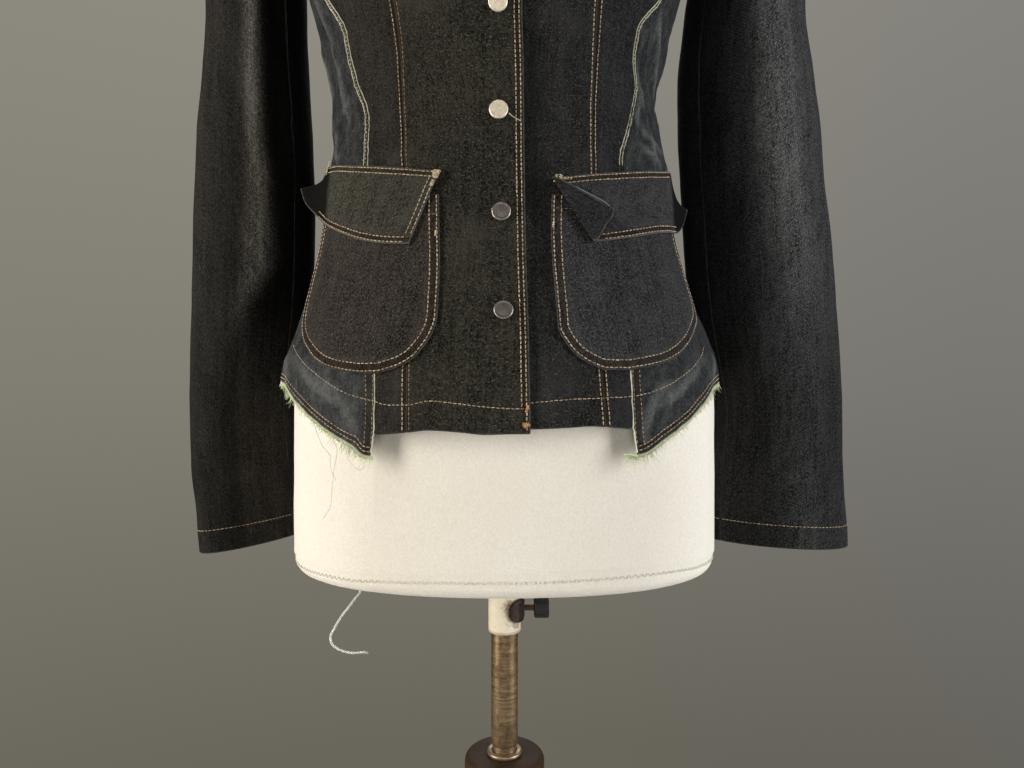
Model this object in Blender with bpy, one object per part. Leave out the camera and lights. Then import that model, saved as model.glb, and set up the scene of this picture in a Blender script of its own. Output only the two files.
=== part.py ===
"""Denim jacket on a limbless dress form and stand.

Units in the tables are millimetres, written as metres in the meshes.  +Z is up,
the front of the jacket faces -Y, and the origin is the middle of the foot's
underside.  Heights h are counted from the form's natural waist, WAIST above the
floor.  'right' and 'left' are the wearer's: right is at -X.

Every cloth piece is a wall of one thickness made around a grid of points.  The
points come from the body sections below: a section is a rounded rectangle
(superellipse) with a half width a, a front depth bf and a back depth bb, and the
angle t runs from the centre front (0) past the side (90) to the centre back (180),
negative on the wearer's right.
"""
import math
import bpy
import bmesh
from mathutils import Matrix, Vector

MM = 0.001
WAIST = 1046.0          # natural waist above the floor
CLOTH = 1.6             # wall of a denim panel
SEAM = 0.62             # gap between two panels at a seam
LAY = 0.9               # gap between a panel and what is sewn on it


def table(names, rows):
    """A table with named columns, as one list per column."""
    keys = names.split()
    return {k: [row[i] for row in rows] for i, k in enumerate(keys)}


# ---------------------------------------------------------------- body sections
JACKET = table("h xc a bf bb n", [
    (-260, -3.0, 181.5, 128.0, 143.0, 2.20),
    (-221, -3.0, 181.5, 126.0, 141.0, 2.20),
    (-196, -3.0, 181.5, 124.5, 139.0, 2.20),
    (-174, -3.0, 180.3, 122.0, 136.0, 2.20),
    (-151, -2.7, 172.5, 118.5, 130.0, 2.20),
    (-120, -4.3, 160.7, 113.5, 122.0, 2.20),
    (-76, -5.0, 149.0, 107.0, 111.0, 2.20),
    (-30, -4.8, 142.3, 101.0, 101.0, 2.20),
    (0, -5.0, 139.0, 98.0, 97.0, 2.25),
    (21, -7.0, 135.4, 96.5, 96.0, 2.25),
    (48, -8.5, 134.6, 97.0, 97.0, 2.30),
    (78, -7.5, 139.6, 101.0, 99.0, 2.30),
    (105, -8.0, 146.5, 107.0, 101.0, 2.30),
    (132, -8.0, 153.8, 115.0, 104.0, 2.35),
    (182, -5.0, 162.0, 130.0, 108.0, 2.40),
    (235, -2.0, 168.0, 122.0, 108.0, 2.40),
    (270, 0.0, 175.0, 108.0, 104.0, 2.35),
    (300, 0.0, 180.0, 96.0, 97.0, 2.30),
    (318, 0.0, 178.0, 87.0, 90.0, 2.20),
    (342, 0.0, 128.0, 75.0, 78.0, 2.20),
    (366, 0.0, 75.0, 62.0, 66.0, 2.20),
])

FORM = table("h xc a bf bb n", [
    (-338, 0.0, 166.0, 104.0, 115.0, 2.2),
    (-336, 0.0, 169.5, 107.5, 118.5, 2.2),
    (-330, 0.0, 173.5, 111.0, 122.5, 2.2),
    (-315, 0.0, 175.3, 112.5, 125.0, 2.2),
    (-260, 0.0, 175.5, 113.5, 127.0, 2.2),
    (-200, 0.0, 175.0, 113.5, 127.0, 2.2),
    (-151, 0.0, 165.5, 109.0, 120.0, 2.2),
    (-110, 0.0, 150.0, 103.0, 108.0, 2.2),
    (-60, 0.0, 134.0, 95.0, 96.0, 2.2),
    (0, 0.0, 120.5, 86.5, 86.0, 2.2),
    (48, 0.0, 118.5, 87.0, 86.5, 2.2),
    (105, 0.0, 130.0, 97.0, 91.0, 2.25),
    (150, 0.0, 137.0, 108.0, 96.0, 2.3),
    (182, 0.0, 143.0, 117.0, 98.0, 2.3),
    (235, 0.0, 152.0, 109.0, 98.0, 2.3),
    (270, 0.0, 163.0, 97.0, 94.0, 2.3),
    (300, 0.0, 164.0, 84.0, 87.0, 2.25),
    (312, 0.0, 160.0, 78.0, 81.0, 2.2),
    (330, 0.0, 132.0, 70.0, 73.0, 2.2),
    (348, 0.0, 95.0, 62.0, 67.0, 2.2),
    (362, 0.0, 66.0, 56.0, 60.0, 2.1),
    (376, 0.0, 55.0, 53.0, 56.0, 2.0),
    (405, 0.0, 52.0, 51.0, 54.0, 2.0),
    (432, 0.0, 53.0, 52.0, 55.0, 2.0),
    (438, 0.0, 49.0, 48.0, 51.0, 2.0),
])

# heights of the rows of points in the body panels, bottom to top
ROWS = [-221, -198, -174, -151, -118, -84, -50, -16, 18, 52, 88, 124, 158,
        172, 187, 200, 219, 238, 260, 280, 294, 304, 313, 318, 330, 342, 354, 366]

# ---------------------------------------------------------------- seam lines
# distance x from the form's centre plane, at height h, for the wearer's right
# (negative) and left (positive) fronts
FRONT_EDGE = table("h right left", [      # the free edges: right laps over left
    (-221, 18.6, -19.0), (-150, 17.6, -19.5), (-92, 15.9, -20.5),
    (-18, 15.0, -22.0), (40, 14.5, -23.0), (87, 13.4, -24.0), (294, 13.4, -20.0)])
NECK = table("h x", [                     # front neckline
    (294, 2.0), (304, 29.0), (313, 41.0), (318, 45.5), (330, 54.0), (342, 63.0), (354, 69.5),
    (366, 75.0)])
PRINCESS = table("h right left", [
    (-221, -66.0, 71.6), (-176, -66.4, 69.0), (-60, -70.5, 65.0), (-26, -71.2, 65.0),
    (10, -73.0, 65.2), (37, -74.5, 66.2), (55, -75.2, 67.0), (91, -79.0, 68.7),
    (132, -84.0, 76.0), (158, -90.0, 84.0), (182, -99.0, 95.0), (200, -110.0, 107.0),
    (219, -126.0, 124.0), (238, -150.0, 148.0)])
SIDE_SEAM = table("h right left", [       # inner edge of the washed side panels
    (-245, -94.0, 95.5), (-221, -89.6, 91.6), (-197, -89.6, 90.2),
    (-178, -90.0, 89.9), (-120, -93.5, 88.5), (-60, -99.0, 87.0), (-22, -102.0, 86.5),
    (11, -101.3, 94.5), (44, -111.5, 101.0), (62, -116.3, 98.5), (81, -119.5, 101.0),
    (107, -134.0, 118.0), (132, -146.0, 131.0), (158, -156.0, 143.5),
    (187, -163.9, 154.5)])
# angle t, in degrees, of the two back seams
BACK_SEAMS = table("h side princess", [
    (-221, 122.0, 152.0), (-120, 120.0, 153.0), (0, 122.0, 154.0), (48, 122.0, 153.0),
    (105, 116.0, 147.0), (158, 108.0, 137.0), (187, 102.8, 129.0), (219, 100.0, 121.0),
    (238, 99.0, 117.9)])
ARMHOLE = {"h": 250.0, "rise": 68.0, "front": 30.0, "back": 28.0, "power": 0.8}

# lower edge of the washed side panels: angle t and height h
TAIL = {
    "right": table("t h", [(26, -238), (29, -237), (32, -231), (38, -224), (47, -212),
                           (60, -195), (66, -187), (78, -185), (95, -187), (123, -203)]),
    "left": table("t h", [(28, -236), (30, -237), (33, -235), (39, -226), (48.5, -213),
                          (58, -199), (66, -189), (78, -186), (95, -187), (123, -203)]),
}
HEM = {"right": -219.6, "left": -215.8, "back": -214.0}

# ---------------------------------------------------------------- pockets, flaps
POCKET = {
    "right": table("h inner outer", [
        (-52, 14.1, 66.0), (-75, 13.5, 65.6), (-98, 12.8, 66.2), (-120, 12.5, 65.0),
        (-140, 12.6, 61.6), (-152, 13.5, 57.0), (-162, 15.2, 50.8), (-170, 17.4, 45.0),
        (-175, 20.5, 39.5), (-178.8, 25.0, 31.0)]),
    "left": table("h inner outer", [
        (-52, 13.8, 68.0), (-75, 13.2, 67.4), (-98, 12.8, 69.0), (-120, 12.6, 68.5),
        (-134, 12.3, 64.5), (-147, 11.9, 56.5), (-158, 13.3, 50.0), (-166, 15.2, 44.0),
        (-171.5, 17.8, 38.0), (-176.5, 21.5, 28.0)]),
}
# a row for each line down the flap: angle, height and lift off the panels, at the
# sewn top edge and at the free lower edge
FLAP = {
    "right": table("t0 h0 lift0 t1 h1 lift1", [
        (14.1, -35.0, 2.9, 21.2, -88.0, 5.4), (23.3, -31.7, 2.9, 29.0, -86.5, 5.4),
        (34.2, -27.6, 2.9, 37.0, -82.5, 5.4), (45.5, -22.8, 2.9, 46.5, -75.0, 5.4),
        (57.0, -17.5, 2.9, 57.0, -66.0, 6.0), (67.0, -14.0, 2.9, 66.0, -55.0, 10.0),
        (74.0, -12.3, 3.0, 76.0, -42.0, 17.0), (79.0, -11.5, 3.2, 87.0, -24.0, 26.0)]),
    "left": table("t0 h0 lift0 t1 h1 lift1", [
        (13.1, -35.2, 2.9, 24.6, -86.0, 5.4), (24.1, -30.8, 2.9, 33.0, -82.5, 5.4),
        (36.0, -26.2, 2.9, 42.0, -77.8, 5.4), (47.0, -21.5, 2.9, 51.0, -73.3, 5.4),
        (58.0, -16.5, 2.9, 58.5, -70.5, 5.4), (68.0, -12.0, 2.9, 66.5, -68.0, 5.6),
        (75.0, -9.8, 3.0, 76.0, -59.0, 8.5), (79.5, -9.0, 3.0, 87.0, -41.0, 16.5)]),
}
# the left flap's lower inner corner is folded back over its face: share v down the
# flap, and how far the folded cloth reaches, in degrees
FOLDED = table("v reach", [(0.10, 0.35), (0.30, 4.2), (0.50, 8.6), (0.61, 11.2),
                           (0.80, 6.0), (1.00, 0.35)])

# ---------------------------------------------------------------- sleeves
# a ring for each row: inner and outer point (x, y, h) and the half depth ry.
# x is given for the side it stands on.
SLEEVE = {
    "left": table("xi yi hi xo yo ho ry", [
        (160.5, -2, 180.5, 190, -3, 315, 57), (163.0, 1, 178.0, 212, 1, 301, 56),
        (164.5, 4, 174.0, 236, 5, 270, 55), (164.0, 9, 166.0, 251.5, 10, 226, 52),
        (161.5, 14, 150.0, 257, 14, 180, 49), (158.5, 18, 120.0, 260.5, 18, 130, 47),
        (155.0, 21, 80.0, 269.7, 20, 84, 45), (155.5, 23, 32.0, 276.8, 21, 35, 43),
        (158.5, 25, -18.0, 282, 22, -16, 41), (162.0, 28, -70.0, 287.7, 22, -69, 40),
        (168.0, 33, -120.0, 291.8, 22, -120, 39), (179.0, 42, -168.0, 295, 22, -168, 38),
        (188.0, 48, -213.0, 296.4, 22, -213, 38), (184.0, 48, -258.0, 297.5, 22, -258, 37),
        (181.0, 46, -296.0, 300.6, 23, -298, 37), (180.0, 44, -324.0, 302.2, 24, -328, 37)]),
    "right": table("xi yi hi xo yo ho ry", [
        (170.5, -2, 180.5, 191, -3, 315, 57), (173.5, 1, 178.0, 213, 1, 301, 56),
        (175.5, 4, 174.0, 235, 5, 270, 54), (176.5, 9, 166.0, 249.5, 10, 226, 51),
        (177.0, 14, 150.0, 255.5, 14, 180, 48), (177.0, 18, 120.0, 258, 18, 130, 46),
        (176.0, 22, 80.0, 262.6, 19, 84, 44), (173.5, 25, 32.0, 268, 20, 35, 42),
        (172.0, 28, -18.0, 270.7, 20, -16, 41), (173.5, 32, -70.0, 272.3, 20, -69, 40),
        (178.0, 38, -120.0, 273.3, 19, -120, 38), (187.0, 50, -168.0, 273.7, 17, -168, 36),
        (192.0, 56, -213.0, 272.8, 14, -213, 35), (189.0, 60, -258.0, 270.7, 11, -258, 34),
        (187.0, 60, -296.0, 265.2, 9, -298, 34), (185.0, 60, -322.0, 261.5, 8, -330, 34)]),
}
SLEEVE_SEAM = {"front": 2, "back": 6}  # the two sleeve seams: points from the inner line
ELBOW_RING = 9                         # where the upper sleeve is cut in two lengths

# ---------------------------------------------------------------- collar
# base line round the neck: angle, x, y, height; and its section, outwards and up
COLLAR_BASE = table("turn x y h front", [
    (4, 5.0, -99.5, 297.0, 1.0), (16, 19.0, -98.5, 299.0, 1.0), (32, 33.0, -93.0, 306.5, 0.85),
    (50, 49.5, -80.0, 322.0, 0.6), (66, 63.0, -60.0, 342.0, 0.3), (80, 72.0, -34.0, 358.0, 0.1),
    (95, 75.0, -4.0, 367.5, 0.0), (112, 70.5, 26.0, 367.5, 0.0), (130, 57.0, 46.0, 367.5, 0.0),
    (148, 38.0, 59.0, 367.5, 0.0), (165, 18.0, 65.0, 367.5, 0.0), (180, 0.0, 66.5, 367.5, 0.0)])
COLLAR_SECTION = table("out up out_front up_front", [
    (-0.6, 2.4, -0.6, 3.2), (-2.0, 14.0, -1.6, 11.0), (-2.0, 26.0, -1.8, 19.0),
    (1.0, 30.0, 1.0, 22.5), (4.2, 26.5, 4.2, 18.5), (9.5, 17.0, 9.5, 5.0),
    (17.0, 8.5, 15.0, -9.0), (27.0, 2.0, 21.0, -23.0)])

# ---------------------------------------------------------------- buttons
BUTTON = {"r": 6.9, "thick": 3.2, "rim": 0.9}
BUTTONS = table("h x", [(-135.5, 0.5), (-65.2, -1.2), (10.1, -3.2), (84.9, -3.6),
                        (158.0, -3.6), (231.0, -3.6)])

# ---------------------------------------------------------------- stand
FORM_BOTTOM = WAIST - 338.0       # 708
POLE = {"r": 11.4, "spigot": 10.4, "bottom": 486.0, "shoulder": 553.0, "top": 938.0}
SOCKET = {"r": 13.8, "bore": 12.1, "bottom": 649.0, "top": 800.0}
FORM_BORE = {"r": 14.4, "top": 1038.0}
RING = {"r": 14.8, "bore": 10.95, "bottom": 544.3, "top": 547.6}
COLUMN = table("r z", [(62, 28.4), (62, 44), (58, 50), (44, 62), (36, 84), (34, 120),
                       (34, 540.5), (32.6, 543.0), (30.0, 544.0)])
COLUMN_BORE = {"r": 10.95, "bottom": 485.4}
FOOT = table("r z", [(200, 0), (206, 3), (208, 10), (206, 20), (198, 26.5), (188, 28)])
SCREW = {"z": 668.4, "stem": 2.7, "hole": 3.3, "tip": 12.2, "knob_x0": 25.3,
         "knob_x1": 38.0, "knob_r": 8.5}
PLATE = {"r0": 14.2, "r1": 17.2, "from": -76.0, "to": 24.0, "height": 19.0}
CORD_R = 0.8
CORD = table("x y z", [
    (-106.0, -78.0, 706.9), (-106.8, -79.0, 704.8), (-110.0, -82.0, 700.8),
    (-113.0, -84.5, 696.8), (-119.4, -86.5, 688.6), (-123.6, -88.0, 681.2),
    (-126.2, -89.0, 675.6), (-125.4, -89.5, 671.2), (-121.6, -89.0, 667.2),
    (-116.3, -88.0, 664.4), (-109.1, -87.0, 662.9), (-101.8, -86.5, 663.4)])


# ================================================================ maths
def curve(xs, ys, x):
    """Smooth curve through the points (xs, ys) that never overshoots them."""
    n = len(xs)
    if x <= xs[0]:
        return ys[0]
    if x >= xs[-1]:
        return ys[-1]
    k = 0
    while xs[k + 1] < x:
        k += 1

    def slope(i):
        if i == 0 or i == n - 1:
            j = 0 if i == 0 else n - 2
            return (ys[j + 1] - ys[j]) / (xs[j + 1] - xs[j])
        h0, h1 = xs[i] - xs[i - 1], xs[i + 1] - xs[i]
        d0, d1 = (ys[i] - ys[i - 1]) / h0, (ys[i + 1] - ys[i]) / h1
        if d0 * d1 <= 0:
            return 0.0
        w0, w1 = 2 * h1 + h0, h1 + 2 * h0
        return (w0 + w1) / (w0 / d0 + w1 / d1)
    h = xs[k + 1] - xs[k]
    s = (x - xs[k]) / h
    a, b = slope(k), slope(k + 1)
    return ((2 * s ** 3 - 3 * s ** 2 + 1) * ys[k] + (s ** 3 - 2 * s ** 2 + s) * h * a
            + (-2 * s ** 3 + 3 * s ** 2) * ys[k + 1] + (s ** 3 - s ** 2) * h * b)


def section(body, h):
    return [curve(body["h"], body[k], h) for k in ("xc", "a", "bf", "bb", "n")]


def on_body(body, t, h):
    """Point of the body's surface at angle t (degrees) and height h."""
    xc, a, bf, bb, n = section(body, h)
    s, c = math.sin(math.radians(t)), math.cos(math.radians(t))
    b = bf if c >= 0 else bb
    x = xc + a * math.copysign(abs(s) ** (2 / n), s)
    y = -b * math.copysign(abs(c) ** (2 / n), c)
    return Vector((x, y, h))


def normal_at(body, t, h):
    """Outward normal of the surface."""
    lo, hi = max(h - 4.0, body["h"][0]), min(h + 4.0, body["h"][-1])
    du = on_body(body, t + 1.5, h) - on_body(body, t - 1.5, h)
    dv = on_body(body, t, hi) - on_body(body, t, lo)
    n = du.cross(dv)
    n.normalize()
    if n.dot(on_body(body, t, h) - Vector((section(body, h)[0], 0, h))) < 0:
        n.negate()
    return n


def off_body(t, h, lift):
    """Point of the jacket's surface, moved out by lift."""
    return on_body(JACKET, t, h) + lift * normal_at(JACKET, t, h)


def angle_of(x, h):
    """Angle t of the front point at distance x from the centre plane."""
    xc, a, bf, bb, n = section(JACKET, h)
    q = max(-1.0, min(1.0, (x - xc) / a))
    s = math.copysign(abs(q) ** (n / 2), q)
    return math.degrees(math.asin(max(-1.0, min(1.0, s))))


def inset(t, h, dist):
    """Angle t moved along the section by dist millimetres."""
    step = (on_body(JACKET, t + 0.5, h) - on_body(JACKET, t - 0.5, h)).length
    return t + dist / max(step, 1e-6)


def armhole(h, side):
    """Angle of the armhole's front or back edge at height h."""
    q = (h - ARMHOLE["h"]) / ARMHOLE["rise"]
    s = math.sqrt(max(0.0, 1.0 - q * q)) ** ARMHOLE["power"]
    return 90.0 - ARMHOLE["front"] * s if side == "front" else 90.0 + ARMHOLE["back"] * s


def straight(seam, h):
    """A seam's angle, straight between the last two rows below its upper end."""
    if 219 < h < 238:
        q = (h - 219) / (238 - 219)
        return seam(219) * (1 - q) + seam(238) * q
    return seam(h)


# ================================================================ meshes
def material(name, color, rough, metal=0.0):
    mat = bpy.data.materials.new(name)
    mat.use_nodes = True
    bsdf = mat.node_tree.nodes["Principled BSDF"]
    bsdf.inputs["Base Color"].default_value = (*color, 1.0)
    bsdf.inputs["Roughness"].default_value = rough
    bsdf.inputs["Metallic"].default_value = metal
    return mat


def add_object(name, bm, mat, smooth=True, sharp=35.0):
    bmesh.ops.recalc_face_normals(bm, faces=bm.faces)
    if bm.calc_volume(signed=True) < 0:
        bmesh.ops.reverse_faces(bm, faces=bm.faces)
    mesh = bpy.data.meshes.new(name)
    bm.to_mesh(mesh)
    bm.free()
    if smooth:
        mesh.shade_smooth()
        mesh.set_sharp_from_angle(angle=math.radians(sharp))
    mesh.materials.append(mat)
    obj = bpy.data.objects.new(name, mesh)
    bpy.context.scene.collection.objects.link(obj)
    return obj


def world(p):
    """Table point (mm, height from the waist) to metres above the floor."""
    return Vector((p[0], p[1], p[2] + WAIST)) * MM


def grid_normals(grid):
    rows, cols = len(grid), len(grid[0])
    out = []
    for i in range(rows):
        line = []
        for j in range(cols):
            u = grid[i][min(j + 1, cols - 1)] - grid[i][max(j - 1, 0)]
            v = grid[min(i + 1, rows - 1)][j] - grid[max(i - 1, 0)][j]
            n = u.cross(v)
            if n.length < 1e-9:
                n = line[-1].copy() if line else Vector((0, -1, 0))
            n.normalize()
            line.append(n)
        out.append(line)
    return out


def wall(name, grid, mat, thick=CLOTH, round_row=False, normals=None):
    """A closed wall of one thickness around a grid of points."""
    rows, cols = len(grid), len(grid[0])
    nrm = normals or grid_normals(grid)
    bm = bmesh.new()
    side = []
    for sign in (0.5, -0.5):
        side.append([[bm.verts.new(world(grid[i][j] + sign * thick * nrm[i][j]))
                      for j in range(cols)] for i in range(rows)])
    top, low = side
    for i in range(rows - 1):
        for j in range(cols - 1):
            bm.faces.new((top[i][j], top[i][j + 1], top[i + 1][j + 1], top[i + 1][j]))
            bm.faces.new((low[i][j], low[i + 1][j], low[i + 1][j + 1], low[i][j + 1]))
    edge = ([(0, j) for j in range(cols)] + [(i, cols - 1) for i in range(1, rows)]
            + [(rows - 1, j) for j in range(cols - 2, -1, -1)]
            + [(i, 0) for i in range(rows - 2, 0, -1)])
    for k, (i, j) in enumerate(edge):
        a, b = edge[(k + 1) % len(edge)]
        bm.faces.new((top[i][j], low[i][j], low[a][b], top[a][b]))
    return add_object(name, bm, mat)


def turned(name, profile, mat, sides=32, bore=None):
    """A turned solid from (radius, height) pairs, bottom to top, with an optional
    bore (radius, bottom, top) that opens at the top or goes right through."""
    bm = bmesh.new()
    loop = list(profile)
    inner = []
    if bore:
        r, z0, z1 = bore
        inner = [(r, z1), (r, z0)]
    rings = []
    for r, z in loop + inner:
        rings.append([bm.verts.new(Vector((r * math.cos(2 * math.pi * k / sides),
                                           r * math.sin(2 * math.pi * k / sides), z)) * MM)
                      for k in range(sides)])
    for a, b in zip(rings[:-1], rings[1:]):
        for k in range(sides):
            m = (k + 1) % sides
            bm.faces.new((a[k], a[m], b[m], b[k]))
    if bore and abs(bore[1] - loop[0][1]) < 1e-6:
        a, b = rings[-1], rings[0]
        for k in range(sides):
            m = (k + 1) % sides
            bm.faces.new((a[k], a[m], b[m], b[k]))
    elif bore:
        bm.faces.new(rings[-1])
        bm.faces.new(rings[0])
    else:
        bm.faces.new(rings[0])
        bm.faces.new(rings[-1])
    return add_object(name, bm, mat)


def cylinder(p0, p1, r, sides):
    """bmesh of a cylinder from p0 to p1 (millimetres above the floor)."""
    bm = bmesh.new()
    axis = Vector(p1) - Vector(p0)
    rot = axis.to_track_quat("Z", "Y").to_matrix().to_4x4()
    mid = (Vector(p0) + Vector(p1)) / 2 * MM
    bmesh.ops.create_cone(bm, cap_ends=True, segments=sides, radius1=r * MM,
                          radius2=r * MM, depth=axis.length * MM,
                          matrix=Matrix.Translation(mid) @ rot)
    return bm


def cut(obj, bm):
    """Cut a hole in obj."""
    mesh = bpy.data.meshes.new("cutter")
    bmesh.ops.recalc_face_normals(bm, faces=bm.faces)
    bm.to_mesh(mesh)
    bm.free()
    tool = bpy.data.objects.new("cutter_" + obj.name, mesh)
    bpy.context.scene.collection.objects.link(tool)
    tool.hide_render = True
    tool.display_type = "WIRE"
    mod = obj.modifiers.new("hole", "BOOLEAN")
    mod.operation = "DIFFERENCE"
    mod.solver = "EXACT"
    mod.object = tool
    tool.hide_set(True)


# ================================================================ body panels
def panel(name, mat, left, right, cols, hem, top, lift=None, rows=ROWS, spread=None,
          crown=None):
    """A body panel between two seam lines.

    left(h) and right(h) give the angles of its two edges, hem(t) its lower edge,
    top its last row, lift(t, h) how far it stands off the jacket's surface."""
    grid, nrm = [], []
    hs = [h for h in rows if h <= top + 1e-6]
    share = spread or [j / cols for j in range(cols + 1)]
    for i, h in enumerate(hs):
        line, nline = [], []
        for u in share:
            hh = h
            for _ in range(3):
                a, b = left(hh), right(hh)
                t = a + (b - a) * u
                if hem and i < 3:
                    base = hem(abs(t))
                    third = rows[3]
                    hh = base + (third - base) * i / 3
                elif crown and i == len(hs) - 1:
                    hh = crown(abs(t))
                else:
                    hh = h
            k = lift(t, hh) if lift else 0.0
            n = normal_at(JACKET, t, hh)
            line.append(on_body(JACKET, t, hh) + k * n)
            nline.append(n)
        grid.append(line)
        nrm.append(nline)
    return wall(name, grid, mat, normals=nrm)


def build():
    for obj in list(bpy.data.objects):
        bpy.data.objects.remove(obj, do_unlink=True)

    denim = material("denim", (0.030, 0.029, 0.027), 0.92)
    denim_sleeve = material("denim_sleeve", (0.038, 0.037, 0.036), 0.92)
    washed = material("washed_denim", (0.060, 0.068, 0.082), 0.88)
    metal = material("button_metal", (0.55, 0.53, 0.50), 0.38, 1.0)
    jersey = material("jersey", (0.83, 0.79, 0.70), 0.95)
    paint = material("socket_paint", (0.75, 0.68, 0.52), 0.5)
    steel = material("aged_steel", (0.16, 0.12, 0.08), 0.45, 0.8)
    iron = material("dark_iron", (0.03, 0.028, 0.027), 0.5, 0.6)
    plastic = material("knob_plastic", (0.03, 0.03, 0.028), 0.6)
    wood = material("dark_wood", (0.055, 0.030, 0.020), 0.5)
    string = material("cotton_cord", (0.85, 0.84, 0.80), 0.9)

    half = SEAM / 2
    for side in ("right", "left"):
        s = -1.0 if side == "right" else 1.0

        def seam(tab, h, s=s, side=side):
            """Angle of a front seam, as a positive number on its own side."""
            return s * angle_of(curve(tab["h"], tab[side], h), h)

        def princess(h, seam=seam):
            return straight(lambda z: seam(PRINCESS, z) if z < 238
                            else armhole(z, "front"), h)

        def patch(h, seam=seam):
            return straight(lambda z: seam(SIDE_SEAM, z) if z < 187
                            else armhole(z, "front"), h)

        def arm_bottom(t):
            """Height of the armhole's lower edge at angle t."""
            amp = ARMHOLE["front"] if t < 90 else ARMHOLE["back"]
            q = min(1.0, abs(t - 90.0) / amp) ** (1.0 / ARMHOLE["power"])
            return ARMHOLE["h"] - ARMHOLE["rise"] * math.sqrt(1.0 - q * q)

        def edge(h, s=s, side=side):
            x = curve(FRONT_EDGE["h"], FRONT_EDGE[side], h)
            if h > 294:
                x = s * curve(NECK["h"], NECK["x"], h)
            return s * angle_of(x, h)

        def outer_front(h, princess=princess):
            if h >= 318:
                return inset(90.0, h, -half)
            return inset(princess(h), h, -half)

        def lap(t, h, s=s, side=side):
            """The left front runs under the right one."""
            if side == "right" or h > 300:
                return 0.0 if side == "right" else -2.85 * max(0.0, min(1.0, (40.0 - abs(
                    on_body(JACKET, t, h).x)) / 18.0))
            x = on_body(JACKET, t, h).x
            return -2.85 * max(0.0, min(1.0, (40.0 - x) / 18.0))

        hem = HEM[side]
        short = [h for h in ROWS if h <= 219] + [235]
        share = ([0.0, 0.12, 0.26, 0.44, 0.62, 0.80, 1.0] if side == "right" else
                 [0.0, 0.2, 0.34, 0.46, 0.62, 0.80, 1.0])
        if side == "right":
            panel("front_" + side, denim, lambda h: -edge(h),
                  lambda h: -outer_front(h), 0, lambda t: hem, 366, lap, spread=share)
        else:
            panel("front_" + side, denim, edge, outer_front, 0, lambda t: hem, 366, lap,
                  spread=share)
        panel("side_front_" + side, denim,
              lambda h: s * inset(princess(h), h, half),
              lambda h: s * inset(patch(h), h, -half), 3, lambda t: hem, 235,
              rows=short)
        tail = TAIL[side]
        panel("side_panel_" + side, washed,
              lambda h: s * inset(patch(h), h, half),
              lambda h: s * inset(curve(BACK_SEAMS["h"], BACK_SEAMS["side"], h), h, -half),
              8, lambda t: curve(tail["t"], tail["h"], t), 187,
              rows=[-221, -205, -190, -174] + ROWS[3:15], crown=arm_bottom)

        def back_side(h):
            return straight(lambda z: curve(BACK_SEAMS["h"], BACK_SEAMS["side"], z)
                            if z < 187 else armhole(z, "back"), h)

        def back_princess(h):
            return straight(lambda z: curve(BACK_SEAMS["h"], BACK_SEAMS["princess"], z)
                            if z < 238 else armhole(z, "back"), h)

        def outer_back(h):
            if h >= 318:
                return inset(90.0, h, half)
            return inset(back_princess(h), h, half)

        panel("side_back_" + side, denim,
              lambda h: s * inset(back_side(h), h, half),
              lambda h: s * inset(back_princess(h), h, -half), 3,
              lambda t: HEM["back"], 235, rows=short)
        panel("back_" + side, denim,
              lambda h: s * outer_back(h),
              lambda h: s * (180.0 - 0.12 - half / 2.0), 4,
              lambda t: HEM["back"], 366)

        # patch pocket: the panel's points, moved out
        tab = POCKET[side]
        lift = CLOTH / 2 + LAY + CLOTH / 2
        grid = []
        for h, t0, t1 in zip(tab["h"], tab["inner"], tab["outer"]):
            grid.append([off_body(s * (t0 + (t1 - t0) * u / 7), h, lift)
                         for u in range(8)])
        wall("pocket_" + side, grid, denim)

        # pocket flap
        tab = FLAP[side]
        cols = len(tab["t0"])
        downs = [0.0, 0.1, 0.3, 0.5, 0.61, 0.8, 1.0]
        grid = []
        for v in downs:
            line = []
            for k in range(cols):
                t = tab["t0"][k] + (tab["t1"][k] - tab["t0"][k]) * v
                h = tab["h0"][k] + (tab["h1"][k] - tab["h0"][k]) * v
                f = tab["lift0"][k] + (tab["lift1"][k] - tab["lift0"][k]) * (
                    min(1.0, v / 0.35) if tab["lift1"][k] < 7 else v)
                line.append(off_body(s * t, h, f))
            if side == "left" and v > 0.05:
                # the folded corner: over the edge and back above the face
                reach = curve(FOLDED["v"], FOLDED["reach"], v)
                t = tab["t0"][0] + (tab["t1"][0] - tab["t0"][0]) * v
                h = tab["h0"][0] + (tab["h1"][0] - tab["h0"][0]) * v
                f = tab["lift0"][0] + (tab["lift1"][0] - tab["lift0"][0]) * min(1.0, v / 0.35)
                fold = [off_body(s * (t + reach), h + 1.0 * reach / 3, f + 3.3),
                        off_body(s * (t + reach * 0.5), h + 0.5 * reach / 3, f + 2.9),
                        off_body(s * t, h, f + 2.7), off_body(s * (t - 0.55), h, f + 1.35)]
                line = fold + line
            grid.append(line)
        if side == "left":
            grid = grid[1:]
        wall("flap_" + side, grid, denim, thick=1.5)

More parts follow.
